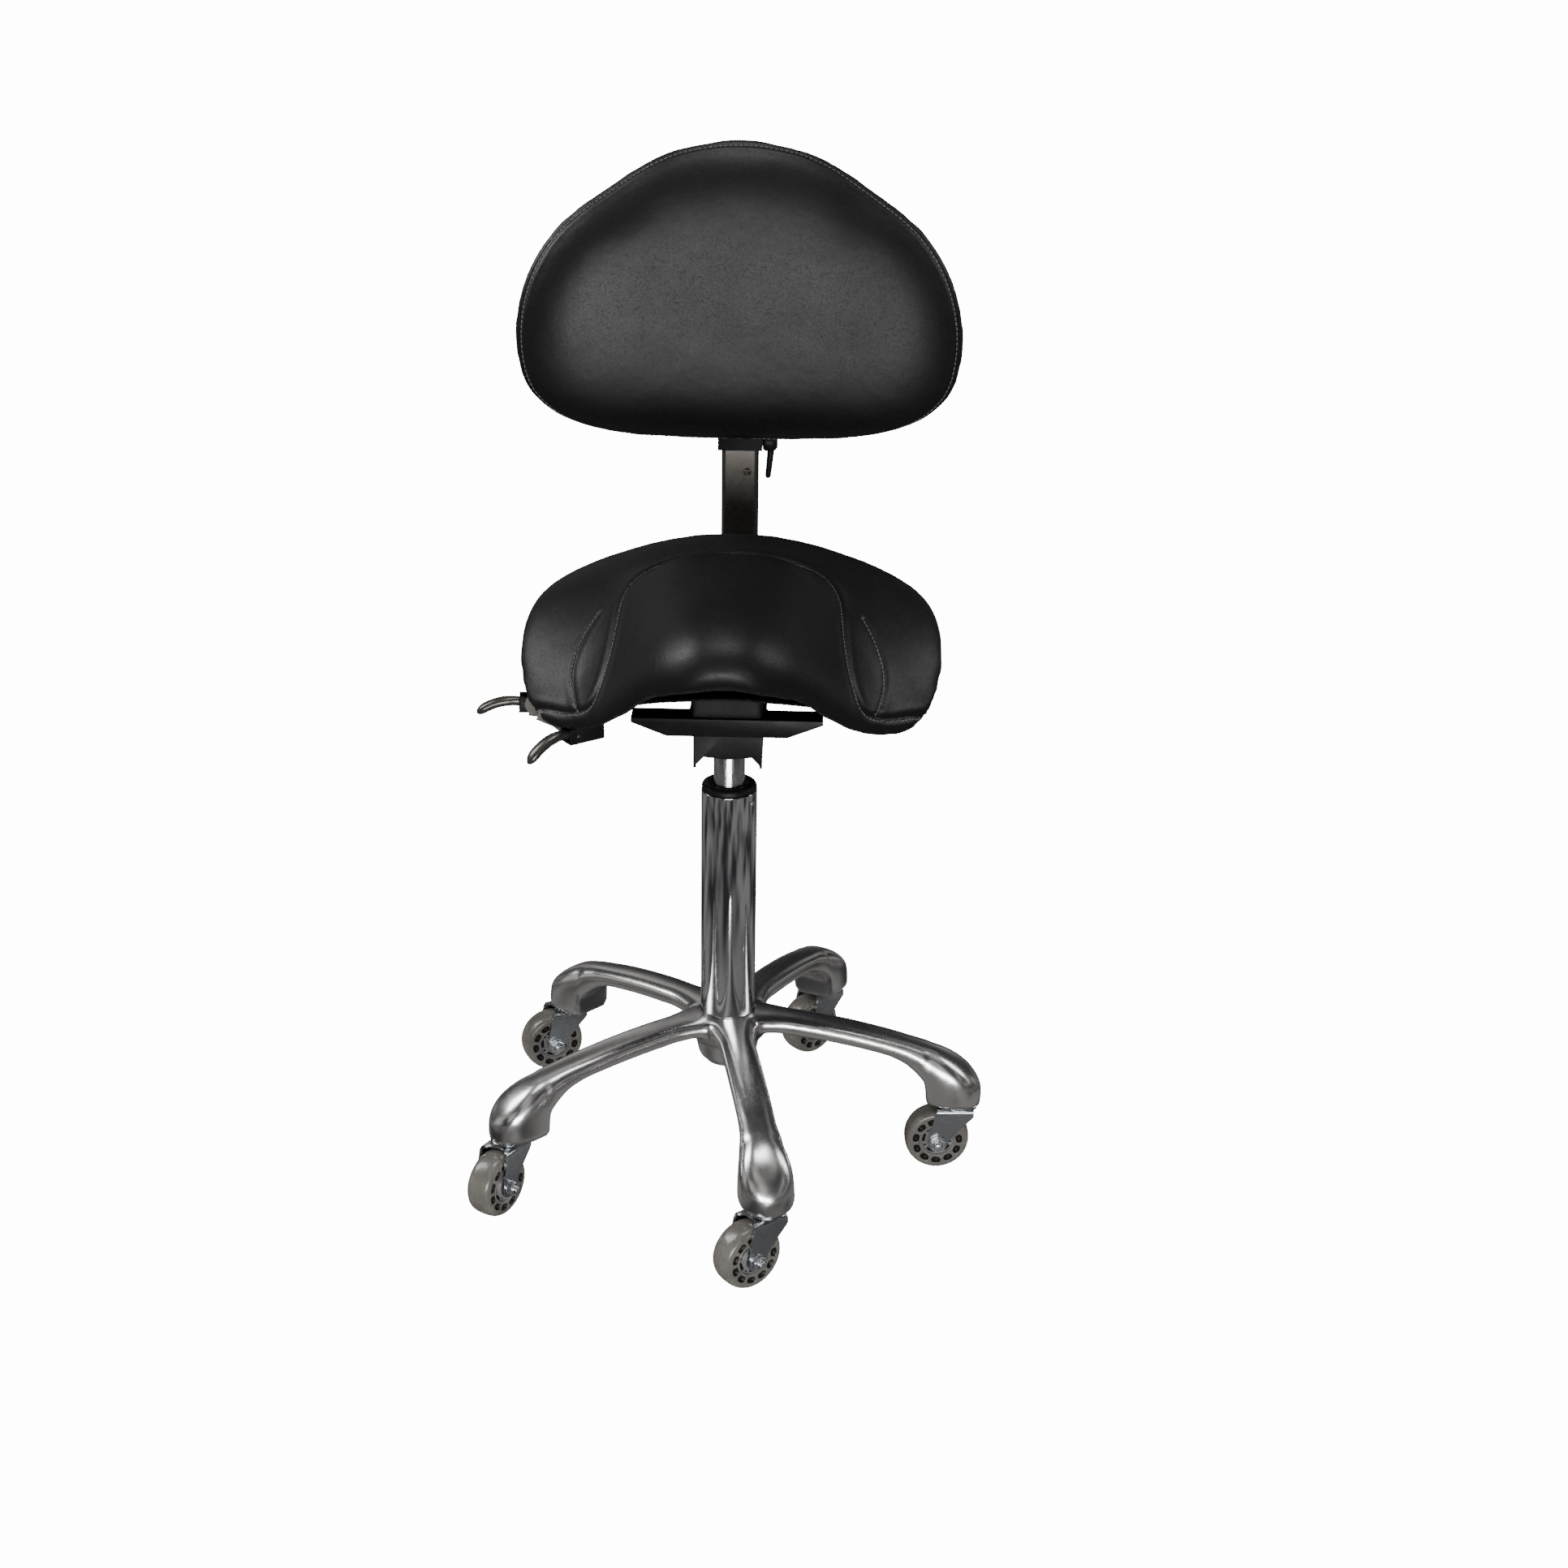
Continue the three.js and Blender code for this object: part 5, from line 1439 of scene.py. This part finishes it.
def make_clamp():
    """Clamp stud and its small lever."""
    pivot = joint_place("clamp_turn")
    x0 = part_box("clamp_lever")[0].x - pivot.x
    x1 = x0 + 14 * MM
    hub_r, bore = 9 * MM, 3.3 * MM
    hub = turned("hub", [
        (bore, x0), (hub_r - 2 * MM, x0), (hub_r - 0.6 * MM, x0 + 1.2 * MM), (hub_r, x0 + 3 * MM),
        (hub_r, x1 - 4 * MM), (hub_r - 1.5 * MM, x1 - 1.4 * MM), (hub_r - 4 * MM, x1), (0.2 * MM, x1),
        (0.2 * MM, x0 + 8.3 * MM), (bore, x0 + 8.3 * MM),
    ], 48, loop=True, along="X")
    rings, spans, sides = [], 23, 20
    for k in range(spans + 1):
        t = k / spans
        r = (3.4 - 0.6 * t) * MM * math.sqrt(max(1 - (max(t - 0.9, 0) / 0.1) ** 2, 0.03))
        x = (x0 + x1) / 2 + MM - 3 * MM * t
        rings.append([(x + r * math.cos(a), r * math.sin(a), -4 * MM - t * 31.8 * MM)
                      for a in (2 * math.pi * i / sides for i in range(sides))])
    lever = joined("clamp_handle_lever", hub, skin("stick", rings))
    lever.data.transform(Matrix.Translation(pivot))
    finished(lever, moulding(), "clamp_handle", "black_plastic", "clamp_lever")
    dressed("clamp_stud", steel())


# ---------------------------------------------------------------- stage
def softbox(name, place, target, size, power):
    """Rectangular area light."""
    data = bpy.data.lights.new(name, "AREA")
    data.shape = "RECTANGLE"
    data.size, data.size_y = size
    data.energy = power
    light = linked(name, data)
    light.location = place
    light.rotation_euler = (Vector(target) - light.location).to_track_quat("-Z", "Y").to_euler()


def make_camera(lens):
    """Camera from its place and its three angles."""
    data = bpy.data.cameras.new("Camera")
    data.lens = lens
    data.sensor_width = 36
    camera = linked("Camera", data)
    h, p, r = (math.radians(v) for v in (HEADING, PITCH, ROLL))
    ahead = Vector((math.sin(h) * math.cos(p), math.cos(h) * math.cos(p), -math.sin(p)))
    flat = Vector((math.cos(h), -math.sin(h), 0))
    up = flat.cross(ahead)
    right, up = flat * math.cos(r) + up * math.sin(r), up * math.cos(r) - flat * math.sin(r)
    camera.matrix_world = Matrix.Translation(CAMERA) @ Matrix((right, up, -ahead)).transposed().to_4x4()
    bpy.context.scene.camera = camera


def make_floor():
    """Pale floor: white to the camera, dim and patchy in reflections."""
    floor = skin("floor", [[(-6, -6, z), (6, -6, z), (6, 6, z), (-6, 6, z)] for z in (-0.02, 0.0)])
    graph, shader, place = material("pale_floor")
    shader.inputs["Roughness"].default_value = 0.9
    tone = graph.mapped(graph.noise(place, 3.0, 3.0), 0.3, 0.7)
    pale = graph.mixed(tone, (0.90, 0.90, 0.90, 1), (0.93, 0.93, 0.93, 1))
    graph.put(shader.inputs["Base Color"], pale)
    path = graph.add("ShaderNodeLightPath").outputs
    patch = graph.mapped(graph.noise(place, 4.0, 1.0), 0.38, 0.62)
    dark = graph.add("ShaderNodeEmission", {
        "Color": graph.mixed(patch, (0.03, 0.03, 0.032, 1), (0.22, 0.215, 0.21, 1)),
    })
    white = graph.add("ShaderNodeEmission", {"Color": (1, 1, 1, 1), "Strength": BACKDROP})
    mix = shader
    for ray, seen in (("Is Glossy Ray", dark), ("Is Camera Ray", white)):
        mix = graph.add("ShaderNodeMixShader", {0: path[ray], 1: mix.outputs[0], 2: seen.outputs[0]})
    graph.put(graph.tree.nodes["Material Output"].inputs["Surface"], mix.outputs[0])
    floor.data.materials.append(bpy.data.materials["pale_floor"])


def make_world():
    """White backdrop, even light, and a dim banded room in reflections."""
    world = bpy.data.worlds.new("Studio")
    world.use_nodes = True
    bpy.context.scene.world = world
    graph = Graph(world.node_tree)
    background = world.node_tree.nodes["Background"]
    path = graph.add("ShaderNodeLightPath")
    sky = graph.add("ShaderNodeTexCoord").outputs["Generated"]
    band = graph.mapped(graph.noise(sky, 2.4, 0.5), 0.52, 0.68)
    mirrored_room = graph.mixed(band, (0.012, 0.012, 0.013, 1), (0.55, 0.54, 0.53, 1))
    for_light = graph.mixed(path.outputs["Is Glossy Ray"], (0.5, 0.51, 0.53, 1), mirrored_room)
    seen = path.outputs["Is Camera Ray"]
    graph.put(background.inputs["Color"], graph.mixed(seen, for_light, (1, 1, 1, 1)))
    graph.put(background.inputs["Strength"], graph.mapped(seen, 0.0, 1.0, 1.0, BACKDROP))


def make_stage():
    """Camera, floor, world and soft lights."""
    stage = settings("stage")
    make_camera(stage.lens)
    make_floor()
    make_world()
    softbox("Front", (0.0, -2.7, 0.45), (0, 0.1, 0.7), (1.5, 0.8), stage.key_power)
    softbox("Overhead", (0.0, -0.1, 2.8), (0, 0, 0.4), (1.0, 0.8), stage.top_power)
    softbox("Left", (-2.0, 0.3, 2.0), (0, 0, 0.5), (0.8, 1.4), stage.side_power * 2.6)
    softbox("Right", (2.0, 0.4, 1.9), (0, 0, 0.5), (0.6, 1.4), stage.side_power)


# ---------------------------------------------------------------- operators and panel
class MakeCasting(bpy.types.Operator):
    """Casts the star base"""

    bl_idname = "stool.casting"
    bl_label = "Star base"

    def execute(self, context):
        make_casting()
        return {"FINISHED"}


class MakeCasters(bpy.types.Operator):
    """Builds the five casters"""

    bl_idname = "stool.casters"
    bl_label = "Casters"

    def execute(self, context):
        make_casters()
        return {"FINISHED"}


class MakeColumn(bpy.types.Operator):
    """Builds the column and the gas spring"""

    bl_idname = "stool.column"
    bl_label = "Column"

    def execute(self, context):
        make_column()
        return {"FINISHED"}


class MakeMechanism(bpy.types.Operator):
    """Builds the tilt mechanism"""

    bl_idname = "stool.mechanism"
    bl_label = "Mechanism"

    def execute(self, context):
        make_mechanism()
        return {"FINISHED"}


class MakeSaddle(bpy.types.Operator):
    """Upholsters the saddle"""

    bl_idname = "stool.saddle"
    bl_label = "Saddle"

    def execute(self, context):
        make_saddle()
        return {"FINISHED"}


class MakeLevers(bpy.types.Operator):
    """Builds the two levers"""

    bl_idname = "stool.levers"
    bl_label = "Levers"

    def execute(self, context):
        make_levers()
        return {"FINISHED"}


class MakeBar(bpy.types.Operator):
    """Bends the backrest bar"""

    bl_idname = "stool.bar"
    bl_label = "Backrest bar"

    def execute(self, context):
        make_bar()
        return {"FINISHED"}


class MakeBackrest(bpy.types.Operator):
    """Upholsters the backrest and builds its clamp"""

    bl_idname = "stool.backrest"
    bl_label = "Backrest"

    def execute(self, context):
        make_backrest()
        return {"FINISHED"}


class MakeStage(bpy.types.Operator):
    """Sets the floor, lights and camera"""

    bl_idname = "stool.stage"
    bl_label = "Stage"

    def execute(self, context):
        make_stage()
        return {"FINISHED"}


STEPS = (MakeCasting, MakeCasters, MakeColumn, MakeMechanism, MakeSaddle, MakeLevers, MakeBar, MakeBackrest,
         MakeStage)
GROUPS = {"base": BaseSettings, "seat": SeatSettings, "finish": FinishSettings, "stage": StageSettings}


class StoolPanel(bpy.types.Panel):
    """Steps and settings of the stool"""

    bl_idname = "VIEW3D_PT_stool"
    bl_label = "Stool"
    bl_space_type = "VIEW_3D"
    bl_region_type = "UI"
    bl_category = "Stool"

    def draw(self, context):
        for kind, group in GROUPS.items():
            box = self.layout.box()
            for key in group.__annotations__:
                box.prop(getattr(context.scene, "stool_" + kind), key)
        for step in STEPS:
            self.layout.operator(step.bl_idname)


def register():
    """Adds the classes and the scene's settings."""
    for cls in (*GROUPS.values(), *STEPS, StoolPanel):
        bpy.utils.register_class(cls)
    for kind, group in GROUPS.items():
        setattr(bpy.types.Scene, "stool_" + kind, PointerProperty(type=group))


def unregister():
    """Takes the settings and the classes away again."""
    for kind in GROUPS:
        delattr(bpy.types.Scene, "stool_" + kind)
    for cls in reversed((*GROUPS.values(), *STEPS, StoolPanel)):
        bpy.utils.unregister_class(cls)


def main():
    """Builds everything in order."""
    register()
    for step in STEPS:
        _, name = step.bl_idname.split(".")
        getattr(bpy.ops.stool, name)()


if __name__ == "__main__":
    main()
